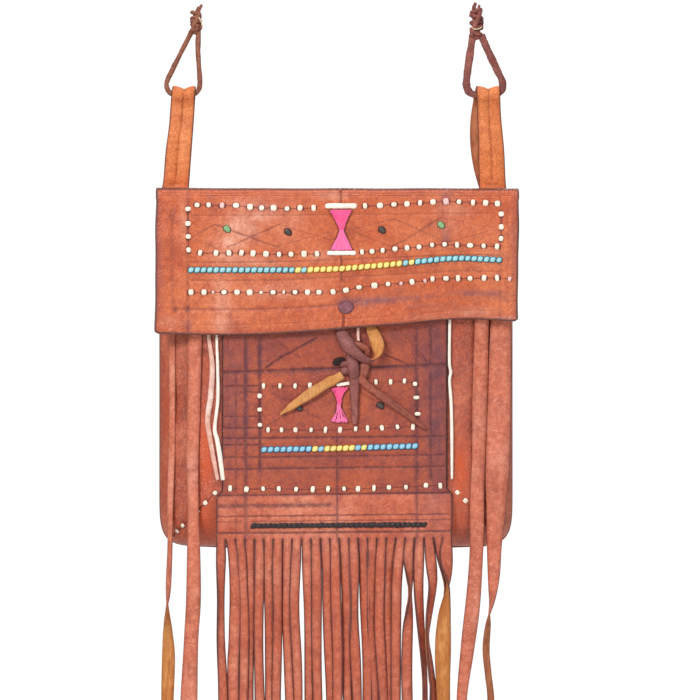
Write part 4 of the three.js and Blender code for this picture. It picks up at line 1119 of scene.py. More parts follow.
def panel_rise(z):
    """How much higher a level line of the panel ends at the right than it starts at the left."""
    steps = [(340, 4.0), (372, 6.0), (386, 3.2), (430, 1.8), (470, 2.3), (490, 2.5), (545, 1.4)]
    return np.interp(-z, [-photo_z(py) for py, _ in steps], [rise for _, rise in steps])


def panel_tooled(x, z, level):
    return pressed_lines(x, z, PANEL_UPRIGHT, PANEL_LEVEL, lambda py: level - photo_z(py),
                         upright_ends=((3, 3), (2, 2)), level_ends=((2, 3), (1, 2)))


def build_panel():
    half_strip = (STRIP_PITCH - 0.8) / 2
    apron_middle = APRON_LEFT + STRIP_PITCH * STRIP_COUNT / 2
    marks = [apron_middle + (photo_x(px) - PANEL_MIDDLE) * APRON_HALF / PANEL_HALF for px, *_ in PANEL_UPRIGHT]
    spans, columns, shares = [], [], []
    for k in range(STRIP_COUNT):
        centre = APRON_LEFT + STRIP_PITCH * (k + 0.5)
        inside = [m for m in marks if abs(m - centre) < half_strip - 0.3]
        places = np.linspace(-half_strip, half_strip, 5) + centre
        if inside:
            places = with_marks(places, inside, 0.9)
            places = [p for p in places if abs(p - centre) < half_strip - 0.12]
            places = np.array([centre - half_strip, *places, centre + half_strip])
        spans.append(slice(len(columns), len(columns) + len(places)))
        columns.extend(places)
        shares.append((places - centre) / half_strip)
    columns = np.array(columns)
    levels = list(np.linspace(PANEL_TOP, APRON_FOLD_Z, 78)) + [-354.0, -356.0, -358.0, -360.0, -362.5]
    levels += list(np.linspace(-365.5, APRON_BOTTOM, 12))
    levels = -with_marks([-z for z in levels], [-photo_z(py) for py, *_ in PANEL_LEVEL if py != 509], 0.9)
    levels = [z for z in levels if z > APRON_BOTTOM + 0.2] + [APRON_BOTTOM]
    made, tooled, stained = [], [], []
    for z in levels:
        grow = smooth(-355.5, -361.0, z)
        half = PANEL_HALF + (APRON_HALF - PANEL_HALF) * grow
        x = PANEL_MIDDLE + (columns - apron_middle) * half / APRON_HALF
        x = x + 0.5 * waves(0 * x + z, 0 * x, 61, 30.0) * smooth(60.0, 88.0, np.abs(x)) * smooth(-358, -364, z)
        high = z + panel_rise(z) * ((x - PANEL_MIDDLE) / (2 * PANEL_HALF) + 0.5) * float(smooth(PANEL_TOP, -180.0, z))
        pressed = panel_tooled(x, high, z)
        made.append(np.stack([x, panel_face(x, high) + 0.25 * pressed, high], axis=-1))
        tooled.append(pressed)
        stained.append(patches(x, high, PANEL_STAINED))
    solid_rows = len(made)
    last = made[-1]
    courses = [curve_through(strip_course(k), 60) for k in range(STRIP_COUNT)]
    ends = [FRINGE_LENGTH * (1.0 - 0.06 * random.Random(k * 7 + 1).random()) for k in range(STRIP_COUNT)]
    for share in np.linspace(0.0, 1.0, 35)[1:]:
        row = np.zeros_like(last)
        for k, (span, across) in enumerate(zip(spans, shares)):
            down = share * ends[k]
            course = courses[k]
            side, wide, turn, deep = (np.interp(down, course[:, 0], course[:, i]) for i in (1, 2, 3, 4))
            base = last[span]
            middle_x, middle_y, middle_z = (base[0] + base[-1]) / 2
            fall = 1 - float(smooth(0, 24, down))
            narrow = (1.0 - 0.1 * share ** 2) * (0.8 if share > 0.985 else 1.0)
            spread = 1.0 + 0.17 * float(smooth(2.0, 16.0, down))
            reach = across * half_strip * wide * narrow * spread
            angle = math.radians(float(turn))
            cup = 0.75 * (across ** 2 - 0.4) * float(smooth(0, 40, down))
            sway = 0.5 * math.sin(down / 21.0 + k * 1.9) * float(smooth(0, 50, down))
            row[span, 0] = middle_x + side + sway + reach * math.cos(angle) + cup * math.sin(angle)
            row[span, 1] = middle_y + (base[:, 1] - middle_y) * fall + deep + reach * math.sin(angle) \
                + cup * math.cos(angle)
            row[span, 2] = middle_z + (base[:, 2] - middle_z) * fall - down \
                + 0.9 * (across if share > 0.95 else 0.0) * math.sin(k * 2.3)
        made.append(row)
        tooled.append(0 * row[:, 0])
        stained.append(0 * row[:, 0])
    grid = np.array(made)
    keep = np.ones((grid.shape[0] - 1, grid.shape[1] - 1), dtype=bool)
    for span in spans[:-1]:
        keep[solid_rows - 1:, span.stop - 1] = False
    return leather_sheet("fringed_sheet", grid, 1.8, [panel_leather, flesh, fringe_leather], keep, rim=2.0,
                         marks={"tooled": tooled, "stained": stained})


panel = build_panel()
# The grain side of the lower apron and the fringe has its own leather.
for polygon in panel.data.polygons:
    if polygon.material_index == 0 and polygon.center.z < (APRON_BOTTOM + 34.0) * MM:
        polygon.material_index = 2
finish_piece(panel, "root", "panel_leather", "fringed_panel")


# The tabs: straps folded over the laces, with their edges meeting in a crease down the middle.
def build_tab(name, side, top_inset, bottom_inset, rear_shift, material):
    top_x, bottom_x = side * (BAG_HALF - top_inset), side * (BAG_HALF - bottom_inset)
    top, sheet_t = BAG_TOP + TAB_HEIGHT, 1.5
    eye = top - sheet_t - 4.4
    leg = 0.9
    levels = list(np.linspace(BAG_TOP - TAB_ROOT, BAG_TOP, 10)) + list(np.linspace(BAG_TOP + 1.6, eye - 12.0, 34))
    route = [(LACE_Y + leg, z) for z in levels]
    route += [(LACE_Y + 3.25 * math.cos(math.radians(a)), eye + 5.15 * math.sin(math.radians(a)))
              for a in range(-60, 241, 12)]
    route += [(LACE_Y - leg, z) for z in reversed(levels)]
    route = np.array(route)
    ahead = unit(np.gradient(route, axis=0))
    across = np.array([-1.0, -0.9, -0.75, -0.55, -0.35, -0.18, -0.08, 0.0, 0.08, 0.18, 0.35, 0.55, 0.75, 0.9, 1.0])
    made, tooled = [], []
    for i, (y, z) in enumerate(route):
        out_y, out_z = ahead[i][1], -ahead[i][0]
        down = np.clip((top - z) / TAB_HEIGHT, 0.0, 1.0)
        tuck = max(0.0, BAG_TOP - z) / TAB_ROOT
        rear = rear_shift * math.sin(math.pi * down) if y > LACE_Y else 0.0
        half = (17.0 + 2.5 * down) / 2 - 8.0 * tuck
        shown_part = float(smooth(BAG_TOP - 4.0, BAG_TOP + 10.0, z))
        crease = np.exp(-(across / 0.10) ** 2)
        lobes = 0.55 * (1 - (2 * np.abs(across) - 1.0) ** 2)
        lift = sheet_t / 2 + shown_part * (lobes - 0.5 * crease - 0.2)
        if y > LACE_Y:
            lift = np.full_like(across, sheet_t / 2)
        notch = 2.0 * np.clip(1.0 - np.abs(across) / 0.8, 0.0, 1.0) * float(smooth(eye, eye + 4.0, z))
        x = top_x + (bottom_x - top_x) * down + rear + across * half
        x = x + 0.35 * waves(z + 0 * x, across * 20, 71 + side, 40.0) * shown_part
        made.append(np.stack([x, y + out_y * lift, z + out_z * lift - notch], axis=-1))
        pressed = np.exp(-(across / 0.06) ** 2) * shown_part * (0.4 if y < LACE_Y else 0.0)
        low_mark = 0.4 * np.exp(-((z - BAG_TOP - 3.6) / 1.3) ** 2) * np.exp(-((across + 0.1) / 0.5) ** 4)
        tooled.append(np.maximum(pressed, low_mark if y < LACE_Y else 0.0))
    thing = leather_sheet(name + "_strap", made, sheet_t, [material, flesh_dark], rim=1.5,
                          marks={"tooled": tooled})
    return finish_piece(thing, "root", "tab_leather", name)


build_tab("left_tab", -1, 16.9, 10.0, 0.0, tab_leather)
build_tab("right_tab", 1, 17.6, 13.9, -6.0, tab_leather)


# Side strips, measured in the photograph.
def ribbon_piece(name, node, slot_name, materials, rows, thickness, count, **more):
    points, faces, kinds, edge = ribbon_shape(rows, thickness, count, cup=0.05, **more)
    return finish_piece(joined(name, [(points, faces, kinds)], materials, edge), "root", slot_name, node)


def hanging_strip(node, places, materials, seed):
    """A strip along rows of (photo x and y of its middle, width in pixels, turn, depth y in millimetres)."""
    stops = [seen(px, py, y, wide, turn) for px, py, wide, turn, y in places]
    return ribbon_piece(node + "_thong", node, "panel_leather", materials, stops, 1.4, 96, seed=seed, flutter=0.2)


hanging_strip("left_inner_strip", [
    (194.5, 300, 14, 6, -15.2), (194.5, 340, 15, 8, -14.4), (193.4, 400, 14.4, 12, -13.6),
    (192, 450, 13, 14, -13.6), (192.4, 490, 12.4, 12, -13.8), (193.3, 545, 13, 0, -14.4),
    (193.2, 600, 14.4, -6, -14.6), (190.8, 640, 15.4, 6, -14.6), (188.6, 700, 16.6, 0, -14.6),
    (187.5, 750, 14, -20, -14.6), (186.6, 791, 9, -42, -14.6)], [strip_leather, flesh], 1)
hanging_strip("left_outer_strip", [
    (171.5, 300, 7, 24, -6.4), (171.5, 400, 8, 32, -4.9), (171, 450, 8, 34, -4.7), (169.6, 500, 7.6, 36, -5.0),
    (169.2, 545, 7.4, 50, -6.0), (167.4, 590, 10.5, 66, -7.4), (166.4, 612, 12, 102, -7.8),
    (167.0, 634, 12.5, 140, -8), (167.8, 660, 12.8, 168, -8), (166.8, 700, 13, 176, -8),
    (166.4, 760, 12, 190, -8)], [strip_leather, flesh], 2)
hanging_strip("right_inner_strip", [
    (481.8, 296, 15.6, -6, -15.2), (481.6, 340, 15.4, -10, -14.4), (480, 400, 15.2, -12, -13.8),
    (479, 450, 14.8, -10, -13.8), (477.2, 500, 14.2, -4, -14.2), (476.8, 545, 14, 10, -14.8),
    (473.4, 600, 15.2, 0, -15), (467.6, 650, 13.4, -8, -15), (461.9, 700, 11, 6, -15),
    (461, 760, 9.4, -16, -15)], [strip_leather, flesh], 3)
hanging_strip("right_outer_strip", [
    (501, 296, 21, 0, -12.0), (500.6, 340, 22.6, 0, -12.2), (499, 400, 24, 4, -12.2),
    (497.4, 470, 24.6, 0, -12.2), (496.4, 510, 21, -8, -12.2), (494.6, 545, 15, 6, -12.4),
    (494.0, 575, 12.5, 20, -12.4), (492.2, 600, 11.5, 62, -12.4), (489.8, 613, 9, 86, -12.4),
    (488.2, 625, 9, 120, -12.4), (486.2, 650, 8.5, 142, -12.4), (488.4, 675, 8, 150, -12.4),
    (491, 700, 8.6, 140, -12.4), (492.4, 755, 8, 165, -12.4)], [strip_leather, flesh_dark], 4)


# Welts between the panel and the gusset: folded white strips, and on the left a second, pale fold, whose near-white
# colour is a painted highlight on the side leather's fold.
def build_welt(node, places, fold=()):
    """places and fold: photo x, photo y and width in pixels of the white strip and of the pale fold beside it, which
    paints a highlight.
    """
    shapes = []
    for kind, way, depth, flatness, sway, pace in ((0, places, -15.9, 0.62, 0.25, 9.0),
                                                   (1, fold, -14.9, 0.5, 0.2, 12.0)):
        if way:
            rows = curve_through([seen(px, py, depth, wide) for px, py, wide in way], 90)
            points, faces = tube(rows[:, :3], rows[:, 3] / 2, 10, flatness, roll=sway * np.sin(rows[:, 2] / pace))
            shapes.append((points, faces, kind))
    thing = joined(node + "_fold", shapes, [white_lacing, pale_fold])
    return finish_piece(thing, "root", "white_lacing", node)


# Near-white leather: on the left welt's fold its colour is a painted highlight; the closure loop's pale line uses it
# too.
pale_fold = leather("pale_fold", (248, 198, 180), (255, 230, 220), (210, 138, 114), edge=(190, 116, 92), spots=0.05,
                    gloss=0.36)
build_welt("left_welt", [
    (215.8, 300, 2.6), (216.4, 336, 2.8), (217.6, 370, 3.2), (217.6, 400, 3.4), (214.6, 428, 3.8),
    (217, 440, 4.6), (219.6, 455, 5.0), (222.8, 480, 4.2)], [
    (206.5, 315, 3.4), (208.2, 336, 3.8), (212, 365, 5.2), (210.6, 395, 6.0), (207.4, 420, 5.6),
    (210, 440, 5.2), (213.6, 460, 4.8), (217.4, 480, 3.4)])
build_welt("right_welt", [
    (450, 300, 2.8), (449.8, 320, 3), (449.5, 361, 3), (450.9, 372, 3.2), (449.7, 381, 3), (451, 400, 3.2),
    (451.7, 420, 3.2), (452, 445, 3.2), (452, 479, 2.4)])


# The closure: a loop that hangs from under the flap, and the knotted thong on the panel.
def ribbons(*parts):
    """The shapes and 'edge' values of several ribbons: stops, thickness, count, cup, seed, and a material's
    number, or None for a grain and a flesh side."""
    shapes, edge = [], []
    for stops, thickness, count, cup, seed, kind in parts:
        points, faces, kinds, values = ribbon_shape(stops, thickness, count, cup=cup, seed=seed)
        shapes.append((points, faces, kinds if kind is None else kind))
        edge += values
    return shapes, edge


def build_closure_loop():
    band = [(340, 314, -18.2, 9, 0), (341, 326, -18.4, 11, 0), (343, 336, -20.6, 13.5, 0),
            (348.5, 346, -23.2, 14, 8), (356.5, 354, -24.2, 12, 18), (364.5, 359.5, -24.4, 8.5, 36),
            (371.5, 361, -24.2, 6.5, 70), (377, 356.5, -24.0, 8.5, 122), (378.2, 348, -23.8, 12, 168),
            (375.5, 338, -22.4, 12.6, 178), (371, 328, -19.0, 11, 180), (368, 316, -18.3, 9, 180)]
    pale = [(358, 316, -18.3, 3, 0), (358, 330, -19.0, 3.2, 0), (358.4, 341, -20.6, 3, 10)]
    bracket = [(349, 338, -19.4, 7, 0), (355, 344.5, -20.4, 7.5, 0), (362, 346.5, -20.8, 8, 0),
               (367, 350, -20.6, 7, 0), (367, 356, -20.2, 4, 0)]
    band, pale, bracket = ([seen(*stop) for stop in stops] for stops in (band, pale, bracket))
    shapes, edge = ribbons((band, 1.4, 72, 0.1, 3, None), (pale, 1.0, 20, 0.12, 5, 2), (bracket, 1.1, 20, 0.12, 5, 3))
    thing = joined("closure_thong_loop", shapes, [thong_leather, flesh_pale, pale_fold, red_leather], edge)
    return finish_piece(thing, "flap", "flesh_side", "closure_loop")


build_closure_loop()


def build_thong_knot():
    """The thong's knot: flat turns crossed over a core, as a half hitch pulls them, beside a flat dark patch that
    paints the shadow in the knot's hollow.
    """
    shapes, edge = ribbons(
        ([(10.2, -18.4, -252.5, 6.0, 0), (10.6, -20.2, -256.0, 8.8, 6), (12.0, -21.8, -261.0, 9.6, 8),
          (13.0, -21.6, -266.5, 8.8, 4), (13.2, -19.8, -271.0, 7.8, 0)], 1.6, 24, 0.14, 1, 0),
        ([(20.4, -18.0, -258.2, 7.0, 10), (21.0, -19.6, -262.0, 8.6, 0), (19.6, -19.8, -268.0, 7.6, 0),
          (16.4, -18.6, -274.0, 5.6, 0)], 1.6, 20, 0.14, 2, 1),
        ([(3.6, -17.9, -262.0, 4.2, 30), (6.6, -19.6, -260.4, 5.6, 24), (10.6, -19.8, -262.4, 5.8, 30),
          (13.6, -18.6, -266.0, 4.4, 20)], 1.5, 18, 0.14, 3, 0))
    core = curve_through([(3.0, -18.2, -265.6), (8.5, -19.2, -265.0), (15.0, -18.6, -263.4)], 12)
    core_radii = [2.0, 2.5, 2.8, 3.0, 3.1, 3.2, 3.2, 3.2, 3.1, 3.0, 2.7, 2.2]
    # A flat dark patch laid on the panel: painted shadow in the knot's hollow, not a real hole.
    hole = curve_through([(-2.6, -17.3, -260.0), (1.6, -17.6, -258.4), (5.8, -17.6, -259.2),
                          (10.0, -17.3, -262.4)], 14)
    shadow_radii = 3.3 * np.sin(np.linspace(0.25, 2.9, 14)) ** 0.6
    for path, radii, flatness, rough, kind, dark in ((core, core_radii, 0.7, 0.05, 0, 0.3),
                                                     (hole, shadow_radii, 0.3, 0.0, 2, 0.0)):
        points, faces = tube(path, radii, 12, flatness, rough=rough)
        shapes.append((points, faces, kind))
        edge += [dark] * len(points)
    thing = joined("thong_hitch", shapes, [thong_leather, red_leather, knot_shadow_patch], edge)
    return finish_piece(thing, "root", "thong_leather", "thong_knot")


build_thong_knot()


def build_tail(node, stops, materials, slot_name, seed):
    """A tail of the thong along rows of (x, y, drop below the bag's top, width, turn)."""
    rows = [(x, y, BAG_TOP - drop, width, turn) for x, y, drop, width, turn in stops]
    return ribbon_piece(node + "_end", node, slot_name, materials, rows, 1.5, 40, seed=seed)


build_tail("tan_tail", [
    (4.6, -18.6, 140.4, 6.0, 180), (-1.0, -19.2, 143.6, 7.2, 180), (-8, -19.2, 147.2, 7.8, 176),
    (-22, -19.0, 156, 7.4, 180), (-33, -18.8, 163.5, 5.6, 184), (-42.2, -18.8, 170, 1.2, 180)],
    [thong_leather, flesh_pale], "flesh_side", 1)
build_tail("purple_tail", [
    (13.2, -19.9, 141.0, 8.2, 0), (13.4, -19.4, 150, 7.4, 6), (13.5, -19.2, 160, 6.2, -4),
    (13.7, -19.0, 170, 5.4, 4), (13.4, -18.9, 177.5, 3.6, 0)], [thong_leather, flesh], "thong_leather", 2)
build_tail("red_tail", [
    (13.6, -19.0, 139.0, 4.6, 0), (20.5, -19.4, 146, 6.0, 0), (32, -19.0, 155, 6.2, -6), (46, -19.0, 165, 6, 4),
    (58, -18.8, 174, 4.8, 0), (67, -18.7, 181, 2.2, 0)], [red_leather, flesh], "cord_leather", 3)


# What repeats, the laced patterns, is grown by one node tree.
def make_row_tree():
    tree, takes, gives = new_tree(
        "laced_row", "GeometryNodeTree",
        [("Geometry", "geometry"), ("Length", "value", 0.004), ("Width", "value", 0.004), ("Height", "value", 0.001),
         ("Slant", "value", 0.0), ("Squareness", "value", 4.0), ("Uneven", "value", 0.08), ("Seed", "count", 1),
         ("Thread", "value", 0.0003), ("Hole", "vector", (1.3, 1.2, 0.4)),
         ("Lacing", "material"), ("Second Lacing", "material"), ("Thread Material", "material")],
        [("Geometry", "geometry")])
    wire = Wiring(tree)
    out = wire.out
    line, seed, uneven, square = (takes[key] for key in ("Geometry", "Seed", "Uneven", "Squareness"))

    def packed(x, y, z):
        return out("ShaderNodeCombineXYZ", {0: x, 1: y, 2: z})

    def typed(node, kind):
        return next(output for output in node.outputs if output.type == kind)

    def stored(name, form="FLOAT_VECTOR", kind="VECTOR"):
        return typed(wire.node("GeometryNodeInputNamedAttribute", {"Name": name}, data_type=form), kind)

    def varied(form, kind, start, low, high):
        """A random value of each stitch between low and high."""
        made = wire.node("FunctionNodeRandomValue", {"Seed": start}, data_type=form)
        for socket in made.inputs:
            if socket.type == kind and socket.name in ("Min", "Max"):
                wire.feed(socket, low if socket.name == "Min" else high)
        return typed(made, kind)

    def rounded_pad(across, deep, grow=None):
        """A box of a few dozen faces, drawn in to a rounded pad."""
        block = out("GeometryNodeMeshCube", {"Size": (2.0, 2.0, 2.0), "Vertices X": across, "Vertices Y": across,
                                             "Vertices Z": deep})
        x, y, z = wire.node("ShaderNodeSeparateXYZ", {0: out("GeometryNodeInputPosition")}).outputs
        powers = [wire.math("POWER", wire.math("ABSOLUTE", part), square) for part in (x, y, z)]
        total = wire.math("ADD", wire.math("ADD", powers[0], powers[1]), powers[2])
        pull = wire.math("DIVIDE", 1.0, wire.math("POWER", total, wire.math("DIVIDE", 1.0, square)))
        slanted = wire.math("ADD", x, wire.math("MULTIPLY", y, takes["Slant"]))
        half = packed(wire.math("MULTIPLY", takes["Length"], 0.5), wire.math("MULTIPLY", takes["Width"], 0.5),
                      takes["Height"])
        shaped = wire.vector("MULTIPLY", wire.vector("SCALE", packed(slanted, y, z), pull), half)
        if grow is not None:
            shaped = wire.vector("MULTIPLY", shaped, grow)
        return out("GeometryNodeSetPosition", {"Geometry": block, "Position": shaped})

    facing = out("FunctionNodeAlignRotationToVector", {"Vector": stored("outward")}, axis="Z")
    facing = out("FunctionNodeAlignRotationToVector", {"Rotation": facing, "Vector": stored("along")}, axis="X",
                 pivot_axis="Z")
    tilt = varied("FLOAT", "VALUE", seed, wire.math("MULTIPLY", uneven, -1.2), wire.math("MULTIPLY", uneven, 1.2))
    turn = out("FunctionNodeEulerToRotation", {0: packed(0.0, 0.0, tilt)})
    turn = out("FunctionNodeRotateRotation", {0: facing, 1: turn}, rotation_space="LOCAL")
    low, high = (wire.math(way, 1.0, uneven) for way in ("SUBTRACT", "ADD"))
    vary = varied("FLOAT_VECTOR", "VECTOR", wire.math("ADD", seed, 7.0), packed(low, low, low),
                  packed(high, high, high))
    sized = stored("proportion")

    def dyed(shape, look, **where):
        return out("GeometryNodeSetMaterial", {"Geometry": shape, "Material": takes[look], **where})

    def set_out(shape, scale, look):
        """The shape at each stitch, as one smooth mesh of one material."""
        made = out("GeometryNodeInstanceOnPoints", {"Points": line, "Instance": shape, "Rotation": turn,
                                                    "Scale": scale})
        return dyed(out("GeometryNodeSetShadeSmooth", {0: out("GeometryNodeRealizeInstances", {0: made})}), look)

    pads = set_out(rounded_pad(5, 3), wire.vector("MULTIPLY", sized, vary), "Lacing")
    chosen = out("FunctionNodeCompare", {0: stored("second", "FLOAT", "VALUE"), 1: 0.5}, data_type="FLOAT",
                 operation="GREATER_THAN")
    pads = dyed(pads, "Second Lacing", Selection=chosen)
    ring = out("GeometryNodeCurvePrimitiveCircle", {"Resolution": 6, "Radius": takes["Thread"]})
    thread = out("GeometryNodeCurveToMesh", {"Curve": out("GeometryNodeMeshToCurve", {0: line}),
                                             "Profile Curve": ring, "Fill Caps": True})
    holes = set_out(rounded_pad(4, 2, takes["Hole"]), sized, "Thread Material")
    whole = wire.node("GeometryNodeJoinGeometry")
    for part in (pads, dyed(thread, "Thread Material"), holes):
        tree.links.new(part, whole.inputs[0])
    wire.feed(gives["Geometry"], whole.outputs[0])
    return tree


ROW_TREE = make_row_tree()


def grown(node, points, outward, along, size, looks, shares=(1.0, 1.0), second=(), slant=0.0, square=4.0,
          uneven=0.17, seed=None, thread=0.22, hole=(1.7, 1.08, 0.34)):
    """The row tree run over a line of points, and kept as a plain mesh. looks: the lacing, the second lacing and
    the thread. shares: the stitches' length and width shares. second: the numbers of those in the second lacing."""
    name, count = node + "_stitches", len(points)
    mesh = bpy.data.meshes.new(name)
    mesh.from_pydata((points * MM).tolist(), [(i, i + 1) for i in range(count - 1)], [])
    proportion = np.ones((count, 3))
    proportion[:, :2] = shares
    for key, form, field, rows in (("outward", "FLOAT_VECTOR", "vector", outward),
                                   ("along", "FLOAT_VECTOR", "vector", along),
                                   ("proportion", "FLOAT_VECTOR", "vector", proportion),
                                   ("second", "FLOAT", "value", [i in second for i in range(count)])):
        layer = mesh.attributes.new(key, form, "POINT")
        layer.data.foreach_set(field, np.asarray(rows, dtype=np.float32).ravel())
    carrier = bpy.data.objects.new(name + "_line", mesh)
    bpy.context.scene.collection.objects.link(carrier)
    modifier = carrier.modifiers.new("laced_row", "NODES")
    modifier.node_group = ROW_TREE
    given = {"Length": size[0] * MM, "Width": size[1] * MM, "Height": size[2] * MM, "Slant": slant,
             "Squareness": square, "Uneven": uneven, "Seed": seed or len(node), "Thread": thread * MM, "Hole": hole}
    given.update(zip(("Lacing", "Second Lacing", "Thread Material"), looks))
    for socket in ROW_TREE.interface.items_tree:
        if socket.in_out == "INPUT" and socket.name in given:
            modifier[socket.identifier] = given[socket.name]
    graph = bpy.context.evaluated_depsgraph_get()
    plain = bpy.data.meshes.new_from_object(carrier.evaluated_get(graph), depsgraph=graph)
    bpy.data.objects.remove(carrier)
    plain.name = name
    thing = bpy.data.objects.new(name, plain)
    bpy.context.scene.collection.objects.link(thing)
    return thing






def on_face(face, x, z, lift):
    """Points that stand lift in front of a face at x and z, with the way the face looks there."""
    x, z = np.asarray(x, dtype=float), np.asarray(z, dtype=float)
    y = face(x, z)
    slope_x = (face(x + 0.4, z) - face(x - 0.4, z)) / 0.8
    slope_z = (face(x, z + 0.4) - face(x, z - 0.4)) / 0.8
    outward = unit(np.stack([slope_x, -np.ones_like(y), slope_z], axis=-1))
    return np.stack([x, y, z], axis=-1) + outward * lift, outward


def ground(node):
    """The body and the face that carry a pattern: the flap's for a name that starts with flap, else the panel's."""
    return ("flap", flap_face) if node.startswith("flap") else ("root", panel_face)


def laced(node, slot_name, stitches, look, size, lift=0.12, level=False, second_look=None, under=None, **more):
    """One row of the pattern. stitches: photo x and y of each, with length and width shares where they vary."""
    body, face = ground(node)
    rows = np.array([(*stitch, 1.0, 1.0)[:4] for stitch in stitches])
    points, outward = on_face(face, photo_x(rows[:, 0]), photo_z(rows[:, 1]), lift)
    along = np.tile([1.0, 0.0, 0.0], (len(points), 1)) if level else unit(np.gradient(points, axis=0))
    thing = grown(node, points, outward, along, size, (look, second_look or look, under or stain_thread),
                  shares=rows[:, 2:], **more)
    return finish_piece(thing, body, slot_name, node)


def white_row(node, stitches, **more):
    if node.startswith("flap"):
        usual = {"size": (4.0, 4.3, 1.1), "square": 2.8, "second_look": rosy_lacing}
    else:
        usual = {"size": (3.0, 4.4, 1.0), "square": 3.0}
    return laced(node, "white_lacing", stitches, cream_lacing, **{**usual, **more})


white_row("flap_frame_lace_top_left", [
    (197, 205, 1.1), (208.6, 205), (222, 205.5, 1.1, 1.05), (236, 205.5, 1.15, 0.95), (250, 207, 1.1),
    (261.6, 208), (273.6, 208, 1.1), (287, 208.7, 1.05), (300, 208, 1.1), (313.6, 208, 0.95)], second=(2,))
white_row("flap_frame_lace_top_right", [
    (365, 206), (380, 205.6, 1.1), (394, 204.5, 1.15), (407, 204), (420, 203), (433, 202, 1.05),
    (446, 201.5, 1.1), (459, 201.8), (473, 202.6, 1.0, 0.95), (485.6, 203), (497.5, 203.7, 1.05)], second=(6,))
white_row("flap_frame_lace_left", [
    (188, 209), (188, 223.6, 1.05), (188.3, 236.6), (188.6, 250, 1.05)])
white_row("flap_frame_lace_right", [(501.3, 214, 1.0, 0.95), (501.3, 227, 1.0, 0.95), (501, 238.7)])
white_row("flap_frame_lace_bottom_left", [
    (200, 253, 0.95), (216, 253), (229, 253, 1.05, 1.05), (241.4, 253, 1.1), (253, 253.5, 0.95),
    (266, 254, 1.05), (279, 254.5), (291, 254.3), (304, 254), (317, 254, 0.95, 0.95)])
white_row("flap_frame_lace_bottom_right", [
    (362, 252, 0.9, 0.95), (372, 251.5), (382.6, 250.5), (395, 249, 1.05), (407, 248, 1.05), (419, 247),
    (432, 245), (444.6, 244.4, 1.05), (457, 245), (470, 245.4, 1.1), (483.6, 246), (497, 246.6)])
white_row("flap_lower_lace_left", [
    (191, 292.3, 1.15, 1.05), (204, 292.3, 1.1), (213, 292.3, 0.6, 0.7), (224, 292.3, 1.1), (237, 292.3, 1.1),
    (249.6, 292.5, 1.1), (261, 292.5, 0.6, 0.7), (273, 292.4, 1.1), (283.7, 292.3, 0.6, 0.7), (295, 292.3, 1.1),
    (307.5, 292.3), (319, 292.3, 1.05, 1.05)], second=(2,))
white_row("flap_lower_lace_right", [
    (333, 292, 1.0, 0.95), (346, 290.3, 1.1), (359, 287.4, 1.05, 0.95), (374.4, 285.6, 1.15, 0.95),
    (388, 284, 0.9, 0.9), (401, 283.5, 0.75, 0.8), (412, 282, 1.0, 0.95), (425, 281, 0.7, 0.8),
    (432.5, 279, 0.9, 0.9), (446, 278.5, 1.1), (458, 278.3), (470, 278.4), (484, 278, 1.05), (497, 278),
    (509.5, 279, 0.7, 0.75)], second=(5, 7, 14))

white_row("panel_lace_top_left", [(263.4, 386), (279.8, 386), (295, 386), (310, 386)])
white_row("panel_lace_top_right", [(376, 382), (390.6, 382), (404.5, 381), (415, 384, 1.2, 0.9)])
white_row("panel_lace_left", [(259.5, 396, 1.1, 0.8), (259.5, 409.7, 1.1, 0.8), (259.8, 425, 1.1, 0.8)],
          size=(3.1, 5.4, 1.0))
white_row("panel_lace_right", [(416.5, 397.6, 1.1, 0.8), (417.7, 414, 1.1, 0.9)], size=(3.1, 5.2, 1.0))
white_row("panel_lace_bottom", [
    (268, 430), (281.4, 430), (295.4, 430), (311, 430), (325.4, 430), (340, 430), (355.6, 428.8),
    (367.5, 428.5), (382, 428), (397.5, 427), (413, 427)])
white_row("seam_lace", [
    (230, 488.6), (246.3, 489.5), (263, 489), (278.7, 489), (296, 489.5), (312.7, 489.5), (328, 489),
    (344, 489), (358, 489), (374, 488.3), (389, 487.6), (406, 487.4), (426, 485.5), (440.4, 486)],
    size=(3.4, 4.3, 1.0))


# The laces along the mitres lie on the gusset's rounded corners.
def mitre_row(node, side, insets):
    points, outward = [], []
    for inset in insets:
        swing = math.acos(1.0 - inset / GUSSET_WIDTH) if inset < GUSSET_WIDTH else math.pi / 2
        x, z = corner_place(side, math.pi / 4, inset)
        level = 0.7071 * math.cos(swing)
        away = np.array([side * level, -math.sin(swing), -level])
        spot = np.array([x, GUSSET_BACK - GUSSET_DEPTH * math.sin(swing), z])
        outward.append(away)
        points.append(spot + away * (0.15 - 0.9 * math.sin(math.pi * min(inset / 46.0, 1.0)) ** 0.7))
    points, outward = np.array(points), np.array(outward)
    along = unit(np.gradient(points, axis=0))
    thing = grown(node, points, outward, along, (3.7, 3.4, 1.0), (cream_lacing, cream_lacing, stain_thread),
                  square=3.4, uneven=0.14, seed=3, hole=(1.5, 1.12, 0.34))
    return finish_piece(thing, "root", "white_lacing", node)


mitre_row("left_mitre_lace", -1, [2.0, 6.4, 11.2, 17.0, 23.5, 30.5, 39.0])
mitre_row("right_mitre_lace", 1, [5.0, 12.0, 18.5, 26.0, 32.5, 39.5])


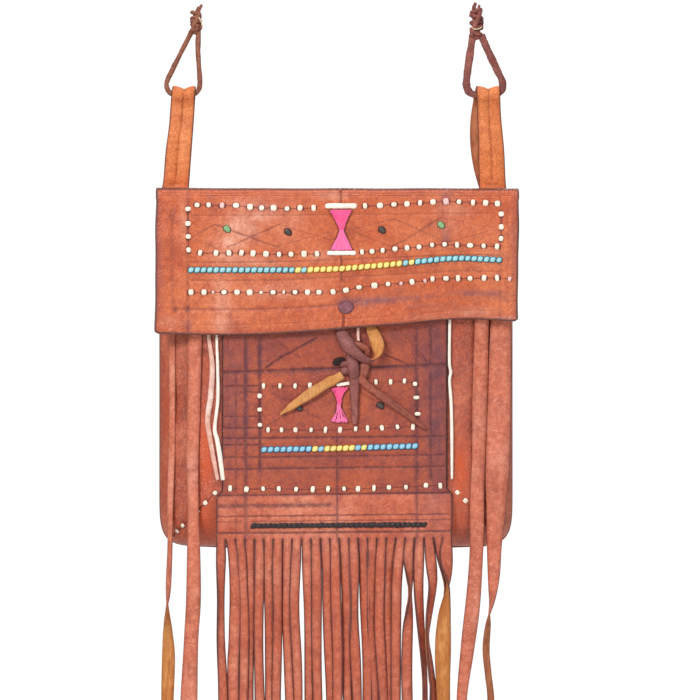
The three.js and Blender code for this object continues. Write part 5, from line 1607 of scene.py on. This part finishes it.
# Braids: slanted beads side by side. Each gap between two colours has two beads of the neighbour's colour.
def braid(node, places, swaps):
    """A row of beads along places. swaps: the numbers of the beads in the neighbour's colour."""
    blue = blue_lacing if node.startswith("flap") else blue_lacing_deep
    look, other, under, slot_name = blue, yellow_lacing, teal_thread, "blue_lacing"
    if "yellow" in node:
        look, other, under, slot_name = yellow_lacing, blue, ochre_thread, "yellow_lacing"
    count = int(round((places[-1][0] - places[0][0]) / 6.3)) + 1
    xs = np.linspace(places[0][0], places[-1][0], count)
    ys = np.interp(xs, [p[0] for p in places], [p[1] for p in places])
    return laced(node, slot_name, list(zip(xs, ys)), look, (5.3, 5.0, 1.6), slant=0.22, uneven=0.05,
                 second=[i % count for i in swaps], second_look=other, thread=1.2, lift=0.2, seed=3, square=2.4,
                 hole=(1.1, 1.24, 0.5), under=under)


braid("flap_braid_blue_left", [(191, 270), (298, 270)], (-1,))
braid("flap_braid_yellow", [(304, 270), (340, 268.8), (375, 266), (405.5, 263)], (0, -1))
braid("flap_braid_blue_right", [(411.6, 262.3), (445, 258.7), (465, 258.2), (499, 260)], (0,))
braid("panel_braid_blue_left", [(264, 449.7), (315, 449)], (-1,))
braid("panel_braid_yellow", [(321, 449), (358, 447.8)], (0, -1))
braid("panel_braid_blue_right", [(364, 447.6), (415, 446.2)], (0,))

ROPE_LEFT, ROPE_RIGHT = 253.5, 424.0
laced("apron_braid", "black_lacing", [(x, 526.0 - 1.2 * (x - ROPE_LEFT) / 170.0)
                                      for x in np.linspace(ROPE_LEFT, ROPE_RIGHT, 34)],
      rope_lacing, (4.5, 4.2, 1.3), slant=0.5, uneven=0.14, thread=0.7, lift=0.2, seed=9, hole=(1.0, 1.15, 0.3),
      square=3.0)


# Bars, hourglasses and dots.
def solid_bar(node, px, py, wide, high, rise=0.0):
    xs = np.linspace(px - wide / 2 + 2, px + wide / 2 - 2, 5)
    return laced(node, "white_lacing", [(x, py - rise * (x - px) / wide) for x in xs], white_lacing,
                 (wide * PIXEL / 3.0, high * 0.8, 1.3), uneven=0.03, thread=0.3, lift=0.3, seed=6, square=3.0,
                 hole=(1.02, 1.2, 0.4))


solid_bar("flap_bar_top", 341, 206, 27, 5.4)
solid_bar("flap_bar_bottom", 341.5, 253, 25, 4.6)
solid_bar("panel_bar", 343.5, 384, 14, 3.6, 1.8)


def hourglass(node, top, waist, bottom, half_top, half_waist, draw=1.15, ragged=0.3):
    """Pink lacing that fans from the upper bar down to a pinched waist and out again, with dark stitches
    along both of its sides."""
    body, face = ground(node)
    shapes = []
    count = 9
    rng = np.random.default_rng(17)

    def drawn_in(share):
        """How far from the waist, the middle and the half width in pixels at a share of the way down."""
        near = top if share < 0.5 else bottom
        pull = abs(share - 0.5) * 2
        half = half_waist + (half_top - half_waist) * pull ** draw
        return pull, waist[0] + (near[0] - waist[0]) * pull, waist[1] + (near[1] - waist[1]) * pull, half

    for i in range(count):
        share = (i + 0.5) / count * 2 - 1
        start, end = rng.uniform(-ragged, ragged, 2) * 0.9
        stops = []
        for t in (0.0, 0.16, 0.32, 0.44, 0.5, 0.56, 0.68, 0.84, 1.0):
            pull, px, py, half = drawn_in(t)
            px = px + share * half + rng.uniform(-ragged, ragged)
            py = py + (start if t < 0.5 else end) * pull ** 4
            x, z = photo_x(px), photo_z(py)
            lift = 1.15 - 0.3 * pull + 0.12 * (i % 2)
            stops.append((x, float(face(x, z)) - lift, z, max(half * 2 / count * PIXEL * 1.3, 0.75), 0.0))
        for part, kind in ((stops[:5], 0), (stops[4:], 1)):
            points, faces, _, _ = ribbon_shape(part, 1.0, 14, cup=0.1, seed=i)
            shapes.append((points, faces, kind))
    for side in (-1, 1):
        for share in np.linspace(0.03, 0.97, 16):
            _, px, py, half = drawn_in(share)
            x, z = photo_x(px + side * (half + 0.5)), photo_z(py)
            y = float(face(x, z)) - 0.75
            bent = [(x - 0.5, y + 0.3, z), (x, y - 0.35, z), (x + 0.5, y + 0.3, z)]
            shapes.append((*tube(bent, (0.5, 0.62, 0.5), 6), 2))
    thing = joined(node + "_fan", shapes, [pink_lacing, pink_lacing_pale, stain_thread])
    return finish_piece(thing, body, "pink_lacing", node)


hourglass("flap_hourglass", (340.6, 210), (341.6, 230), (341.6, 250.5), 10.9, 1.7)
hourglass("panel_hourglass", (339.3, 387.5), (339, 404), (339.8, 422.5), 8.6, 1.5, 1.9, 0.95)


def dot(node, px, py, across=8.0):
    slot_name, look = ("green_lacing", green_lacing) if "green" in node else ("black_lacing", black_lacing)
    spots = [(px - across * 0.1, py - across * 0.08, 1.0, 0.95), (px + across * 0.12, py + across * 0.1, 0.9, 0.9),
             (px + across * 0.02, py - across * 0.16, 0.7, 0.6)]
    return laced(node, slot_name, spots, look, (across * 0.64, across * 0.66, 1.3), uneven=0.1, thread=0.3,
                 lift=0.15, level=True, square=2.2, hole=(1.35, 1.3, 0.3))


dot("flap_dot_green_left", 227, 229)
dot("flap_dot_green_right", 441, 225)
dot("flap_dot_black_left", 288, 232)
dot("flap_dot_black_right", 382, 230)
dot("panel_dot_left", 299, 408)
dot("panel_dot_right", 380.6, 405.7)


# The patch that holds the closure loop to the flap.
def build_patch():
    cx, cz = photo_x(346), photo_z(307.4)
    made = []
    for v in np.linspace(-1.0, 1.0, 13):
        u = np.linspace(-1.0, 1.0, 15)
        across, up = u * np.sqrt(1 - v * v / 2), -v * np.sqrt(1 - u * u / 2)
        x = cx + 5.6 * across + 0.5 * up
        z = cz + 4.6 * up
        y = flap_face(x, z) - 0.75 - 0.5 * (1 - across ** 2 - up ** 2)
        made.append(np.stack([x, y, z], axis=-1))
    thing = leather_sheet("closure_round", made, 0.9, [patch_leather, flesh], rim=1.0)
    return finish_piece(thing, "flap", "thong_leather", "closure_patch")


build_patch()
